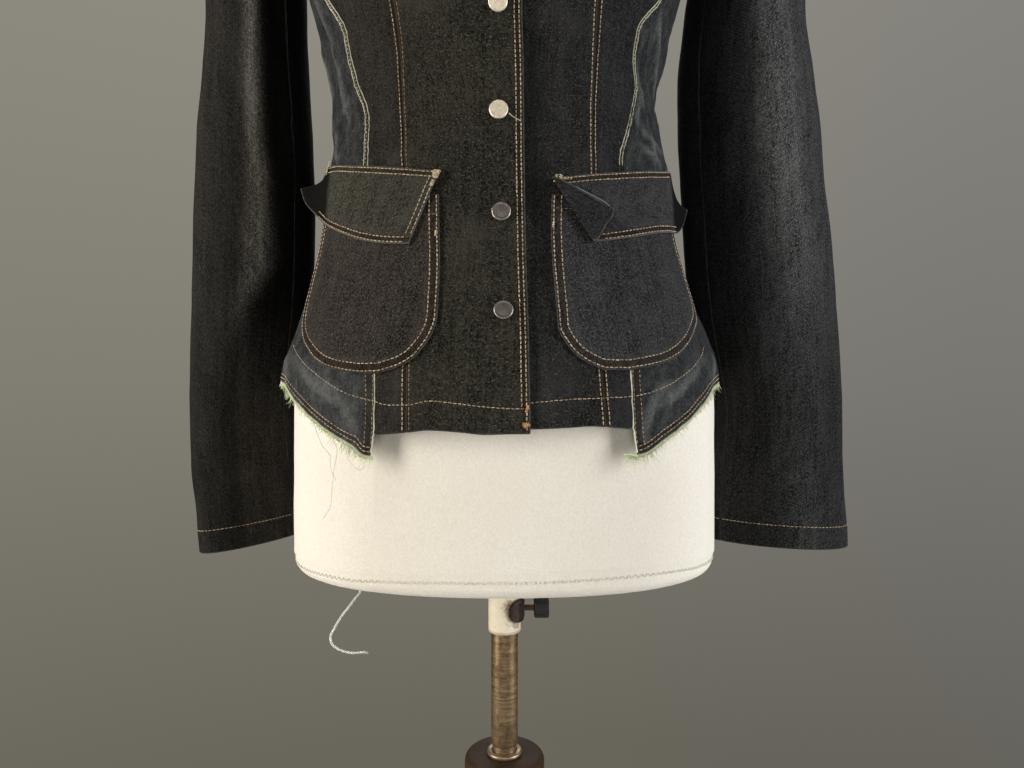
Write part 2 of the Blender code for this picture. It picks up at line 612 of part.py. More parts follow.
        # two-piece sleeve
        tab = SLEEVE[side]
        rings = []
        arm_rows = ([ARMHOLE["h"] - ARMHOLE["rise"]]
                    + [h for h in ROWS if 187 <= h <= 318])
        turn = [math.acos((ARMHOLE["h"] - h) / ARMHOLE["rise"]) for h in arm_rows]
        turn += [2 * math.pi - a for a in turn[-2:0:-1]]
        n = len(turn)
        for k in range(-1, len(tab["xi"])):
            ring = []
            even = max(0.0, min(1.0, (k + 1) / 4))
            for m in range(n + 1):
                phi = turn[m % n] * (1 - even) + 2 * math.pi * (m % n) / n * even
                c, q = math.cos(phi), math.sin(phi)
                if k < 0:
                    h = ARMHOLE["h"] - (ARMHOLE["rise"] - 1.2) * c
                    amp = ARMHOLE["front"] if q >= 0 else -ARMHOLE["back"]
                    t = 90.0 - (amp - math.copysign(0.55, amp)) * abs(q) ** ARMHOLE["power"]
                    ring.append(off_body(s * t, h, 1.2))
                else:
                    pi = Vector((s * tab["xi"][k], tab["yi"][k], tab["hi"][k]))
                    po = Vector((s * tab["xo"][k], tab["yo"][k], tab["ho"][k]))
                    mid, arm = (pi + po) / 2, (po - pi) / 2
                    ring.append(mid - arm * c + Vector((0, -tab["ry"][k] * q, 0)))
            rings.append(ring)
        f0, b0 = SLEEVE_SEAM["front"], n - SLEEVE_SEAM["back"]

        def strip(name, idx, first=0, last=None, s=s, rings=rings):
            rings = [list(ring) for ring in rings[first:last]]
            if first:
                # a hairline below the length above it
                rings[0] = [a + (b - a).normalized() * 0.62 for a, b in zip(rings[0], rings[1])]
            grid = []
            for ring in rings:
                pts = [ring[m % n].copy() for m in idx]
                # draw each side edge in by half the seam gap
                for e, nb in ((0, 1), (-1, -2)):
                    d = (pts[nb] - pts[e]).normalized()
                    pts[e] += d * 0.62
                grid.append(pts)
            nr = grid_normals(grid)
            mid = rings[len(rings) // 2]
            core = sum(mid[:n], Vector()) / n
            probe = nr[len(rings) // 2][len(idx) // 2]
            if probe.dot(grid[len(rings) // 2][len(idx) // 2] - core) < 0:
                nr = [[-v for v in line] for line in nr]
            wall(name, grid, denim_sleeve, normals=nr)

        # the upper sleeve is one cloth, modelled in two lengths that are simpler solids
        strip("upper_sleeve_" + side, list(range(f0, b0 + 1)), 0, ELBOW_RING + 1)
        strip("upper_sleeve_low_" + side, list(range(f0, b0 + 1)), ELBOW_RING)
        strip("under_sleeve_" + side, list(range(b0, n + 1)) + list(range(1, f0 + 1)))

    # collar
    grid = []
    turns = list(range(len(COLLAR_BASE["turn"])))
    for k in range(len(COLLAR_SECTION["out"])):
        line = []
        for sgn, order in ((-1, turns), (1, turns[-2::-1])):
            for i in order:
                x, y, h = COLLAR_BASE["x"][i], COLLAR_BASE["y"][i], COLLAR_BASE["h"][i]
                f = COLLAR_BASE["front"][i]
                out = (COLLAR_SECTION["out"][k] * (1 - f) + COLLAR_SECTION["out_front"][k] * f)
                up = COLLAR_SECTION["up"][k] * (1 - f) + COLLAR_SECTION["up_front"][k] * f
                d = Vector((x, y, 0)).normalized()
                p = Vector((x, y, 0)) + d * out
                line.append(Vector((sgn * p.x, p.y, h + up)))
        grid.append(line)
    wall("collar", grid, denim, thick=1.8)

    # buttons on the right front
    for i, (h, x) in enumerate(zip(BUTTONS["h"], BUTTONS["x"])):
        t = angle_of(x, h)
        n = normal_at(JACKET, t, h)
        base = on_body(JACKET, t, h) + n * (CLOTH / 2 + 0.8)
        r, th, rim = BUTTON["r"], BUTTON["thick"], BUTTON["rim"]
        profile = [(r - rim, 0.0), (r, rim * 0.8), (r, th - rim), (r - rim, th - 0.1),
                   (r - 2.2, th)]
        rot = n.to_track_quat("Z", "Y").to_matrix()
        bm = bmesh.new()
        rings = []
        for rr, z in profile:
            rings.append([bm.verts.new(world(base + rot @ Vector(
                (rr * math.cos(2 * math.pi * m / 14), rr * math.sin(2 * math.pi * m / 14), z))))
                for m in range(14)])
        for a, b in zip(rings[:-1], rings[1:]):
            for m in range(14):
                q = (m + 1) % 14
                bm.faces.new((a[m], a[q], b[q], b[m]))
        bm.faces.new(rings[0])
        bm.faces.new(rings[-1])
        add_object("button_%d" % (i + 1), bm, metal)

    # dress form
    sides = 40
    bm = bmesh.new()
    rings = []
    for h in FORM["h"]:
        rings.append([bm.verts.new(world(on_body(FORM, 360.0 * m / sides, h)))
                      for m in range(sides)])
    for a, b in zip(rings[:-1], rings[1:]):
        for m in range(sides):
            q = (m + 1) % sides
            bm.faces.new((a[m], a[q], b[q], b[m]))
    bm.faces.new(rings[0])
    bm.faces.new(rings[-1])
    form = add_object("dress_form", bm, jersey)
    cut(form, cylinder((0, 0, FORM_BOTTOM - 40), (0, 0, FORM_BORE["top"]),
                       FORM_BORE["r"], 32))

    # socket, clamp plate, screw and knob
    sock = turned("socket", [(SOCKET["r"], SOCKET["bottom"]), (SOCKET["r"], SOCKET["top"])],
                  paint, 32, (SOCKET["bore"], SOCKET["bottom"], SOCKET["top"]))
    cut(sock, cylinder((5, 0, SCREW["z"]), (22, 0, SCREW["z"]), SCREW["hole"], 16))
    grid = []
    steps = 12
    for j in range(steps + 1):
        a = PLATE["from"] + (PLATE["to"] - PLATE["from"]) * j / steps
        q = 2.0 * j / steps - 1.0
        tall = PLATE["height"] / 2 * max(0.30, (1.0 - abs(q) ** 2.6) ** 0.5)
        rm = (PLATE["r0"] + PLATE["r1"]) / 2
        grid.append([Vector((rm * math.cos(math.radians(a)), rm * math.sin(math.radians(a)),
                             SCREW["z"] - WAIST + tall * w)) for w in (-1, -0.5, 0, 0.5, 1)])
    plate = wall("clamp_plate", grid, iron, thick=PLATE["r1"] - PLATE["r0"])
    cut(plate, cylinder((5, 0, SCREW["z"]), (22, 0, SCREW["z"]), SCREW["hole"], 16))

    bm = bmesh.new()
    prof = [(SCREW["stem"], SCREW["tip"]), (SCREW["stem"], SCREW["knob_x0"]),
            (SCREW["knob_r"] - 1.0, SCREW["knob_x0"]),
            (SCREW["knob_r"], SCREW["knob_x0"] + 2.2),
            (SCREW["knob_r"], SCREW["knob_x1"] - 0.9),
            (SCREW["knob_r"] - 0.9, SCREW["knob_x1"])]
    rings = [[bm.verts.new(Vector((x, r * math.cos(2 * math.pi * m / 24),
                                   SCREW["z"] + r * math.sin(2 * math.pi * m / 24))) * MM)
              for m in range(24)] for r, x in prof]
    for a, b in zip(rings[:-1], rings[1:]):
        for m in range(24):
            q = (m + 1) % 24
            bm.faces.new((a[m], a[q], b[q], b[m]))
    bm.faces.new(rings[0])
    bm.faces.new(rings[-1])
    add_object("clamp_knob", bm, plastic)

    # stand
    turned("pole", [(POLE["spigot"], POLE["bottom"]), (POLE["spigot"], POLE["shoulder"]),
                    (POLE["r"], POLE["shoulder"] + 1.5), (POLE["r"], POLE["top"] - 1.5),
                    (POLE["r"] - 1.5, POLE["top"])], steel, 32)
    turned("pole_ring", [(RING["r"], RING["bottom"]), (RING["r"], RING["top"] - 0.8),
                         (RING["r"] - 0.8, RING["top"])], steel, 32,
           (RING["bore"], RING["bottom"], RING["top"]))
    turned("column", list(zip(COLUMN["r"], COLUMN["z"])), wood, 32,
           (COLUMN_BORE["r"], COLUMN_BORE["bottom"], COLUMN["z"][-1]))
    turned("foot", list(zip(FOOT["r"], FOOT["z"])), wood, 48)

    # drawstring of the form's cover: a tube along its route
    cu = bpy.data.curves.new("drawstring", "CURVE")
    cu.dimensions = "3D"
    cu.bevel_depth = CORD_R * MM
    cu.bevel_resolution = 2
    cu.use_fill_caps = True
    sp = cu.splines.new("POLY")
    pts = []
    steps = 26
    arc = [0.0]
    for k in range(1, len(CORD["x"])):
        arc.append(arc[-1] + math.dist((CORD["x"][k], CORD["y"][k], CORD["z"][k]),
                                       (CORD["x"][k - 1], CORD["y"][k - 1], CORD["z"][k - 1])))
    for k in range(steps + 1):
        a = arc[-1] * k / steps
        pts.append([curve(arc, CORD[c], a) for c in ("x", "y", "z")])
    sp.points.add(len(pts) - 1)
    for p, q in zip(sp.points, pts):
        p.co = (q[0] * MM, q[1] * MM, q[2] * MM, 1.0)
    cu.materials.append(string)
    cord = bpy.data.objects.new("drawstring", cu)
    bpy.context.scene.collection.objects.link(cord)


build()
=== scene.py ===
"""Looks of a denim jacket on a limbless dress form and its stand.

Lengths in the tables are millimetres; heights h are counted from the form's waist,
WAIST above the floor.  'right' and 'left' are the wearer's: right is at -X.  A point
of the jacket is an angle t (degrees, 0 centre front, 90 side, 180 centre back,
negative on the wearer's right) and a height h.
"""
import math

import bpy
import numpy as np
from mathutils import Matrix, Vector
from mathutils.bvhtree import BVHTree

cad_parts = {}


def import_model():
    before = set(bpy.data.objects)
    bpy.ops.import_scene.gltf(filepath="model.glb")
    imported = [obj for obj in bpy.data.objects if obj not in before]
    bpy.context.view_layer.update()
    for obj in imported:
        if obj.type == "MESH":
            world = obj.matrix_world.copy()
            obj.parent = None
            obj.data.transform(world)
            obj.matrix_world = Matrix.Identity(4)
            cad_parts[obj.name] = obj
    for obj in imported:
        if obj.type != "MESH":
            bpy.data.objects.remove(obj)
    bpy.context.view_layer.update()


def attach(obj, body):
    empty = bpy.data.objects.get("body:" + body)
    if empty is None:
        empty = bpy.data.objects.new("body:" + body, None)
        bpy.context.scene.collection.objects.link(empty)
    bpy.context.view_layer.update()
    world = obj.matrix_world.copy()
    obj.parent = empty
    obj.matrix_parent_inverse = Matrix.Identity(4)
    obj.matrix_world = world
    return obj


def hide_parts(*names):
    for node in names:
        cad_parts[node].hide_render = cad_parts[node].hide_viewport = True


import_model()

MM = 0.001
WAIST = 1046.0
CLOTH = 1.6
SEAM = 0.62
LAY = 0.9
THIN = 1.25                 # thickness of the cloth shells
rng = np.random.default_rng(11)


# ================================================================ tables
def table(names, rows):
    keys = names.split()
    return {k: np.array([row[i] for row in rows], float) for i, k in enumerate(keys)}


JACKET = table("h xc a bf bb n", [
    (-260, -3.0, 181.5, 128.0, 143.0, 2.20), (-221, -3.0, 181.5, 126.0, 141.0, 2.20),
    (-196, -3.0, 181.5, 124.5, 139.0, 2.20), (-174, -3.0, 180.3, 122.0, 136.0, 2.20),
    (-151, -2.7, 172.5, 118.5, 130.0, 2.20), (-120, -4.3, 160.7, 113.5, 122.0, 2.20),
    (-76, -5.0, 149.0, 107.0, 111.0, 2.20), (-30, -4.8, 142.3, 101.0, 101.0, 2.20),
    (0, -5.0, 139.0, 98.0, 97.0, 2.25), (21, -7.0, 135.4, 96.5, 96.0, 2.25),
    (48, -8.5, 134.6, 97.0, 97.0, 2.30), (78, -7.5, 139.6, 101.0, 99.0, 2.30),
    (105, -8.0, 146.5, 107.0, 101.0, 2.30), (132, -8.0, 153.8, 115.0, 104.0, 2.35),
    (182, -5.0, 162.0, 130.0, 108.0, 2.40), (235, -2.0, 168.0, 122.0, 108.0, 2.40),
    (270, 0.0, 175.0, 108.0, 104.0, 2.35), (300, 0.0, 180.0, 96.0, 97.0, 2.30),
    (318, 0.0, 178.0, 87.0, 90.0, 2.20), (342, 0.0, 128.0, 75.0, 78.0, 2.20),
    (366, 0.0, 75.0, 62.0, 66.0, 2.20)])
FORM = table("h xc a bf bb n", [
    (-338, 0.0, 166.0, 104.0, 115.0, 2.2), (-336, 0.0, 169.5, 107.5, 118.5, 2.2),
    (-330, 0.0, 173.5, 111.0, 122.5, 2.2), (-315, 0.0, 175.3, 112.5, 125.0, 2.2),
    (-260, 0.0, 175.5, 113.5, 127.0, 2.2), (-200, 0.0, 175.0, 113.5, 127.0, 2.2),
    (-151, 0.0, 165.5, 109.0, 120.0, 2.2), (-110, 0.0, 150.0, 103.0, 108.0, 2.2),
    (-60, 0.0, 134.0, 95.0, 96.0, 2.2), (0, 0.0, 120.5, 86.5, 86.0, 2.2),
    (48, 0.0, 118.5, 87.0, 86.5, 2.2), (105, 0.0, 130.0, 97.0, 91.0, 2.25),
    (150, 0.0, 137.0, 108.0, 96.0, 2.3), (182, 0.0, 143.0, 117.0, 98.0, 2.3),
    (235, 0.0, 152.0, 109.0, 98.0, 2.3), (270, 0.0, 163.0, 97.0, 94.0, 2.3),
    (300, 0.0, 164.0, 84.0, 87.0, 2.25), (312, 0.0, 160.0, 78.0, 81.0, 2.2),
    (330, 0.0, 132.0, 70.0, 73.0, 2.2), (348, 0.0, 95.0, 62.0, 67.0, 2.2),
    (362, 0.0, 66.0, 56.0, 60.0, 2.1), (376, 0.0, 55.0, 53.0, 56.0, 2.0),
    (405, 0.0, 52.0, 51.0, 54.0, 2.0), (432, 0.0, 53.0, 52.0, 55.0, 2.0),
    (438, 0.0, 49.0, 48.0, 51.0, 2.0)])
FRONT_EDGE = table("h right left", [
    (-221, 18.6, -19.0), (-150, 17.6, -19.5), (-92, 15.9, -20.5),
    (-18, 15.0, -22.0), (40, 14.5, -23.0), (87, 13.4, -24.0), (294, 13.4, -20.0)])
NECK = table("h x", [
    (294, 2.0), (304, 29.0), (313, 41.0), (318, 45.5), (330, 54.0), (342, 63.0),
    (354, 69.5), (366, 75.0)])
PRINCESS = table("h right left", [
    (-221, -66.0, 71.6), (-176, -66.4, 69.0), (-60, -70.5, 65.0), (-26, -71.2, 65.0),
    (10, -73.0, 65.2), (37, -74.5, 66.2), (55, -75.2, 67.0), (91, -79.0, 68.7),
    (132, -84.0, 76.0), (158, -90.0, 84.0), (182, -99.0, 95.0), (200, -110.0, 107.0),
    (219, -126.0, 124.0), (238, -150.0, 148.0)])
SIDE_SEAM = table("h right left", [
    (-245, -94.0, 95.5), (-221, -89.6, 91.6), (-197, -89.6, 90.2),
    (-178, -90.0, 89.9), (-120, -93.5, 88.5), (-60, -99.0, 87.0), (-22, -102.0, 86.5),
    (11, -101.3, 94.5), (44, -111.5, 101.0), (62, -116.3, 98.5), (81, -119.5, 101.0),
    (107, -134.0, 118.0), (132, -146.0, 131.0), (158, -156.0, 143.5),
    (187, -163.9, 154.5)])
BACK_SEAMS = table("h side princess", [
    (-221, 122.0, 152.0), (-120, 120.0, 153.0), (0, 122.0, 154.0), (48, 122.0, 153.0),
    (105, 116.0, 147.0), (158, 108.0, 137.0), (187, 102.8, 129.0), (219, 100.0, 121.0),
    (238, 99.0, 117.9)])
ARMHOLE = {"h": 250.0, "rise": 68.0, "front": 30.0, "back": 28.0, "power": 0.8}
TAIL = {
    "right": table("t h", [(26, -238), (29, -237), (32, -231), (38, -224), (47, -212),
                           (60, -195), (66, -187), (78, -185), (95, -187), (123, -203)]),
    "left": table("t h", [(28, -236), (30, -237), (33, -235), (39, -226), (48.5, -213),
                          (58, -199), (66, -189), (78, -186), (95, -187), (123, -203)])}
# hem edge and the row of stitches above it, by angle
HEM = {"right": table("t h", [(-40, -219.6), (-26, -220.7), (-18, -218.9), (-13, -217.4),
                              (-7, -218.6), (-2, -220.2), (3.5, -219.6), (9, -219.6)]),
       "left": table("t h", [(-10, -216.2), (5, -216.5), (13, -215.7), (18, -214.8),
                             (28, -216.7), (40, -215.8)]),
       "back": table("t h", [(120, -214.0), (135, -213.2), (150, -214.6), (165, -213.4),
                             (180, -214.0)])}
HEM_ROW = {"right": table("t h", [(-66, -156), (-61, -160.6), (-48, -175.7), (-38.7, -187.4),
                                  (-33, -193.8), (-26.3, -198), (-22.5, -200.5),
                                  (-17.7, -200.4), (-13, -197.6), (-8.5, -198.9),
                                  (-2.3, -201.6), (3.5, -203), (8.5, -202.6)]),
           "left": table("t h", [(5.5, -198.9), (15.5, -196.3), (22, -195.7), (27.3, -195),
                                 (32.3, -193), (41.3, -185.3), (48.2, -177),
                                 (56.4, -165.6), (62, -157)])}
POCKET = {
    "right": table("h inner outer", [
        (-52, 14.1, 66.0), (-75, 13.5, 65.6), (-98, 12.8, 66.2), (-120, 12.5, 65.0),
        (-140, 12.6, 61.6), (-152, 13.5, 57.0), (-162, 15.2, 50.8), (-170, 17.4, 45.0),
        (-175, 20.5, 39.5), (-178.8, 25.0, 31.0)]),
    "left": table("h inner outer", [
        (-52, 13.8, 68.0), (-75, 13.2, 67.4), (-98, 12.8, 69.0), (-120, 12.6, 68.5),
        (-134, 12.3, 64.5), (-147, 11.9, 56.5), (-158, 13.3, 50.0), (-166, 15.2, 44.0),
        (-171.5, 17.8, 38.0), (-176.5, 21.5, 28.0)])}
FLAP = {
    "right": table("t0 h0 lift0 t1 h1 lift1", [
        (14.1, -35.0, 2.9, 21.2, -88.0, 5.4), (23.3, -31.7, 2.9, 29.0, -86.5, 5.4),
        (34.2, -27.6, 2.9, 37.0, -82.5, 5.4), (45.5, -22.8, 2.9, 46.5, -75.0, 5.4),
        (57.0, -17.5, 2.9, 57.0, -66.0, 6.0), (67.0, -14.0, 2.9, 66.0, -55.0, 10.0),
        (74.0, -12.3, 3.0, 76.0, -42.0, 17.0), (79.0, -11.5, 3.2, 87.0, -24.0, 26.0)]),
    "left": table("t0 h0 lift0 t1 h1 lift1", [
        (13.1, -35.2, 2.9, 24.6, -86.0, 5.4), (24.1, -30.8, 2.9, 33.0, -82.5, 5.4),
        (36.0, -26.2, 2.9, 42.0, -77.8, 5.4), (47.0, -21.5, 2.9, 51.0, -73.3, 5.4),
        (58.0, -16.5, 2.9, 58.5, -70.5, 5.4), (68.0, -12.0, 2.9, 66.5, -68.0, 5.6),
        (75.0, -9.8, 3.0, 76.0, -59.0, 8.5), (79.5, -9.0, 3.0, 87.0, -41.0, 16.5)])}
FLAP_FOLD = {"columns": 0}
FOLDED = table("v reach", [(0.10, 0.35), (0.30, 4.2), (0.50, 8.6), (0.61, 11.2),
                           (0.80, 6.0), (1.00, 0.35)])
SLEEVE = {
    "left": table("xi yi hi xo yo ho ry", [
        (160.5, -2, 180.5, 190, -3, 315, 57), (163.0, 1, 178.0, 212, 1, 301, 56),
        (164.5, 4, 174.0, 236, 5, 270, 55), (164.0, 9, 166.0, 251.5, 10, 226, 52),
        (161.5, 14, 150.0, 257, 14, 180, 49), (158.5, 18, 120.0, 260.5, 18, 130, 47),
        (155.0, 21, 80.0, 269.7, 20, 84, 45), (155.5, 23, 32.0, 276.8, 21, 35, 43),
        (158.5, 25, -18.0, 282, 22, -16, 41), (162.0, 28, -70.0, 287.7, 22, -69, 40),
        (168.0, 33, -120.0, 291.8, 22, -120, 39), (179.0, 42, -168.0, 295, 22, -168, 38),
        (188.0, 48, -213.0, 296.4, 22, -213, 38), (184.0, 48, -258.0, 297.5, 22, -258, 37),
        (181.0, 46, -296.0, 300.6, 23, -298, 37), (180.0, 44, -324.0, 302.2, 24, -328, 37)]),
    "right": table("xi yi hi xo yo ho ry", [
        (170.5, -2, 180.5, 191, -3, 315, 57), (173.5, 1, 178.0, 213, 1, 301, 56),
        (175.5, 4, 174.0, 235, 5, 270, 54), (176.5, 9, 166.0, 249.5, 10, 226, 51),
        (177.0, 14, 150.0, 255.5, 14, 180, 48), (177.0, 18, 120.0, 258, 18, 130, 46),
        (176.0, 22, 80.0, 262.6, 19, 84, 44), (173.5, 25, 32.0, 268, 20, 35, 42),
        (172.0, 28, -18.0, 270.7, 20, -16, 41), (173.5, 32, -70.0, 272.3, 20, -69, 40),
        (178.0, 38, -120.0, 273.3, 19, -120, 38), (187.0, 50, -168.0, 273.7, 17, -168, 36),
        (192.0, 56, -213.0, 272.8, 14, -213, 35), (189.0, 60, -258.0, 270.7, 11, -258, 34),
        (187.0, 60, -296.0, 265.2, 9, -298, 34), (185.0, 60, -322.0, 261.5, 8, -330, 34)])}
SLEEVE_SEAM = {"front": 2, "back": 6}
SLEEVE_RING = [182, 187, 200, 219, 238, 260, 280, 294, 304, 313, 318]
COLLAR_BASE = table("turn x y h front", [
    (4, 5.0, -99.5, 297.0, 1.0), (16, 19.0, -98.5, 299.0, 1.0), (32, 33.0, -93.0, 306.5, 0.85),
    (50, 49.5, -80.0, 322.0, 0.6), (66, 63.0, -60.0, 342.0, 0.3), (80, 72.0, -34.0, 358.0, 0.1),
    (95, 75.0, -4.0, 367.5, 0.0), (112, 70.5, 26.0, 367.5, 0.0), (130, 57.0, 46.0, 367.5, 0.0),
    (148, 38.0, 59.0, 367.5, 0.0), (165, 18.0, 65.0, 367.5, 0.0), (180, 0.0, 66.5, 367.5, 0.0)])
COLLAR_SECTION = table("out up out_front up_front", [
    (-0.6, 2.4, -0.6, 3.2), (-2.0, 14.0, -1.6, 11.0), (-2.0, 26.0, -1.8, 19.0),
    (1.0, 30.0, 1.0, 22.5), (4.2, 26.5, 4.2, 18.5), (9.5, 17.0, 9.5, 5.0),
    (17.0, 8.5, 15.0, -9.0), (27.0, 2.0, 21.0, -23.0)])
BUTTONS = table("h x", [(-135.5, 0.5), (-65.2, -1.2), (10.1, -3.2), (84.9, -3.6),
                        (158.0, -3.6), (231.0, -3.6)])
CORD = table("x y z", [
    (-106.0, -78.0, 706.9), (-106.8, -79.0, 704.8), (-110.0, -82.0, 700.8),
    (-113.0, -84.5, 696.8), (-119.4, -86.5, 688.6), (-123.6, -88.0, 681.2),
    (-126.2, -89.0, 675.6), (-125.4, -89.5, 671.2), (-121.6, -89.0, 667.2),
    (-116.3, -88.0, 664.4), (-109.1, -87.0, 662.9), (-101.8, -86.5, 663.4)])

# folds and creases: from (t0, h0) to (t1, h1), width and depth in mm (negative: a
# trough), bend sideways in mm
CREASES = table("t0 h0 t1 h1 width depth bend", [
    # waist, under the arms and round the sides
    (-52, 62, -84, 38, 9, -1.3, 3), (-60, 30, -92, 20, 8, 1.1, -2),
    (-48, 10, -88, 6, 10, -1.1, 3), (-70, 88, -100, 60, 9, 1.5, 4),
    (54, 55, 90, 32, 9, -1.4, -3), (50, 24, 92, 22, 9, 1.2, 2), (48, 4, 86, 2, 10, -1.0, -2),
    (72, 92, 102, 62, 8, 1.6, -4),
    # pulls from the buttons
    (-4, 84, -34, 92, 7, 0.7, 2), (4, 80, 34, 70, 7, 0.6, -2), (-4, 8, -30, -2, 8, -0.7, 1),
    (4, 12, 30, 20, 7, -0.6, 1), (-3, -66, -10, -110, 8, 0.5, 1), (3, -64, 9, -100, 8, 0.5, -1),
    (-5, 158, -40, 176, 9, 0.9, 3), (5, 157, 40, 178, 9, 0.9, -3),
    # above the right flap's corner, and the flare of the hem
    (-20, -16, -34, -32, 6, 1.0, 1), (22, -18, 36, -28, 6, 0.8, -1),
    (-8, -150, -10, -224, 13, -1.3, 2), (-20, -160, -19, -224, 12, 1.0, -2),
    (9, -158, 8, -224, 12, 1.0, -2), (17, -164, 18, -224, 12, -1.1, 2),
    (-30, -176, -29, -224, 9, -1.0, 1), (27, -176, 26, -224, 9, 0.9, 1),
    (-48, -90, -50, -160, 16, 0.8, 3), (44, -90, 45, -158, 16, 0.8, -3),
    (-30, -92, -31, -160, 14, -0.5, -3), (30, -96, 30, -150, 14, -0.5, 3),
    # chest, towards the armholes
    (-30, 205, -56, 236, 12, 1.4, 4), (30, 205, 56, 236, 12, 1.4, -4),
    (-20, 250, -50, 290, 12, 1.1, 5), (20, 250, 50, 290, 12, 1.1, -5),
    # sides above the hem
    (-84, -60, -90, -150, 13, 1.2, 4), (-100, -70, -104, -165, 13, -1.2, 3),
    (86, -60, 90, -150, 13, 1.1, -4), (104, -76, 106, -168, 13, -1.2, 2),
    # back
    (128, 40, 172, 22, 11, -1.6, 3), (126, 14, 168, 2, 11, 1.4, -3),
    (130, -12, 170, -20, 12, -1.2, 2), (-128, 44, -170, 30, 11, -1.6, 3),
    (-126, 18, -172, 4, 11, 1.5, 3), (-132, -10, -168, -24, 12, -1.2, 2),
    (140, -90, 138, -214, 16, 1.6, 4), (164, -100, 166, -214, 15, -1.5, 3),
    (-142, -90, -140, -214, 16, 1.5, 4), (-162, -96, -165, -214, 15, -1.4, 3),
    (118, 180, 150, 240, 13, 1.7, 5), (-118, 180, -150, 240, 13, 1.7, 5),
    (130, 300, 170, 285, 14, 1.2, 4), (-130, 300, -170, 285, 14, 1.2, 4),
    (112, 90, 140, 120, 11, -1.2, 3), (-112, 90, -140, 124, 11, -1.2, 3)])
# crumples of the washed side panels, where the dye has rubbed off the ridges
CRUMPLES = table("t0 h0 t1 h1 width depth bend", [
    (-66, 130, -60, 74, 3.6, 1.5, 3), (-72, 118, -63, 58, 3.0, -1.2, -3),
    (-64, 88, -56, 36, 3.0, 1.3, 3), (-84, 96, -72, 30, 4.0, 1.5, -4),
    (-58, 58, -52, 12, 3.2, 1.2, 2), (-68, 40, -55, -2, 3.0, -1.3, 3),
    (-74, 22, -60, -18, 3.4, 1.4, -2), (-90, 60, -86, 4, 4.0, -1.3, 3),
    (-60, 24, -50, 34, 2.4, 0.9, 1), (-100, 120, -104, 20, 5.0, 1.5, 5),
    (-96, 0, -70, -28, 3.4, 1.1, -3), (-80, 150, -70, 132, 4.0, 1.4, 2),
    (58, 104, 66, 66, 3.0, 1.4, -3), (52, 92, 58, 48, 2.8, -1.2, 3),
    (50, 62, 58, 22, 3.0, 1.4, -2), (62, 86, 78, 40, 3.6, 1.5, 3),
    (56, 40, 48, 2, 2.6, 1.2, 2), (50, 12, 72, -2, 2.6, 1.3, 3), (46, -6, 66, -14, 2.6, 1.2, -2),
    (44, 0, 58, 12, 2.4, -1.0, 2), (60, 4, 58, -20, 3.0, 1.1, 2), (84, 70, 92, 4, 4.4, -1.4, -4),
    (98, 120, 104, 22, 5.0, 1.5, 4), (70, 150, 80, 126, 4.0, 1.3, -2),
    (90, 0, 66, -24, 3.4, 1.1, 2),
    # the tails
    (-58, -166, -30, -206, 3.6, 1.1, 2), (-64, -176, -44, -204, 3.0, -1.0, 2),
    (-40, -182, -30, -232, 3.2, 1.2, -3), (-70, -160, -60, -190, 4.0, 1.1, 2),
    (-34, -196, -46, -184, 2.6, 0.9, 2), (-90, -120, -84, -184, 6.0, 1.4, 3),
    (-108, -100, -112, -196, 7.0, -1.5, 3),
    (58, -166, 32, -206, 3.6, 1.1, -2), (64, -176, 46, -206, 3.0, -1.0, -2),
    (38, -180, 31, -234, 3.2, 1.2, 3), (70, -160, 60, -188, 4.0, 1.2, -2),
    (34, -194, 44, -186, 2.6, 0.9, -2), (90, -120, 84, -184, 6.0, 1.4, -3),
    (108, -100, 112, -196, 7.0, -1.5, -3)])


# ================================================================ maths
def curve(xs, ys, x):
    """Smooth curve through the points (xs, ys) that never overshoots them."""
    xs, ys, x = np.asarray(xs, float), np.asarray(ys, float), np.asarray(x, float)
    shape = (-1,) + (1,) * (ys.ndim - 1)
    gap = np.diff(xs)
    d = np.diff(ys, axis=0) / gap.reshape(shape)
    m = np.empty_like(ys)
    m[0], m[-1] = d[0], d[-1]
    if len(xs) > 2:
        h0, h1 = gap[:-1].reshape(shape), gap[1:].reshape(shape)
        w0, w1 = 2 * h1 + h0, h1 + 2 * h0
        ok = d[:-1] * d[1:] > 0
        a, b = np.where(ok, d[:-1], 1.0), np.where(ok, d[1:], 1.0)
        m[1:-1] = np.where(ok, (w0 + w1) / (w0 / a + w1 / b), 0.0)
    xc = np.clip(x, xs[0], xs[-1])
    k = np.clip(np.searchsorted(xs, xc, side="right") - 1, 0, len(xs) - 2)
    h = xs[k + 1] - xs[k]
    s = (xc - xs[k]) / h
    more = (Ellipsis,) + (None,) * (ys.ndim - 1)
    s, h = s[more], h[more]
    return ((2 * s ** 3 - 3 * s ** 2 + 1) * ys[k] + (s ** 3 - 2 * s ** 2 + s) * h * m[k]
            + (-2 * s ** 3 + 3 * s ** 2) * ys[k + 1] + (s ** 3 - s ** 2) * h * m[k + 1])


def smooth(x, lo, hi):
    q = np.clip((np.asarray(x, float) - lo) / (hi - lo), 0, 1)
    return q * q * (3 - 2 * q)


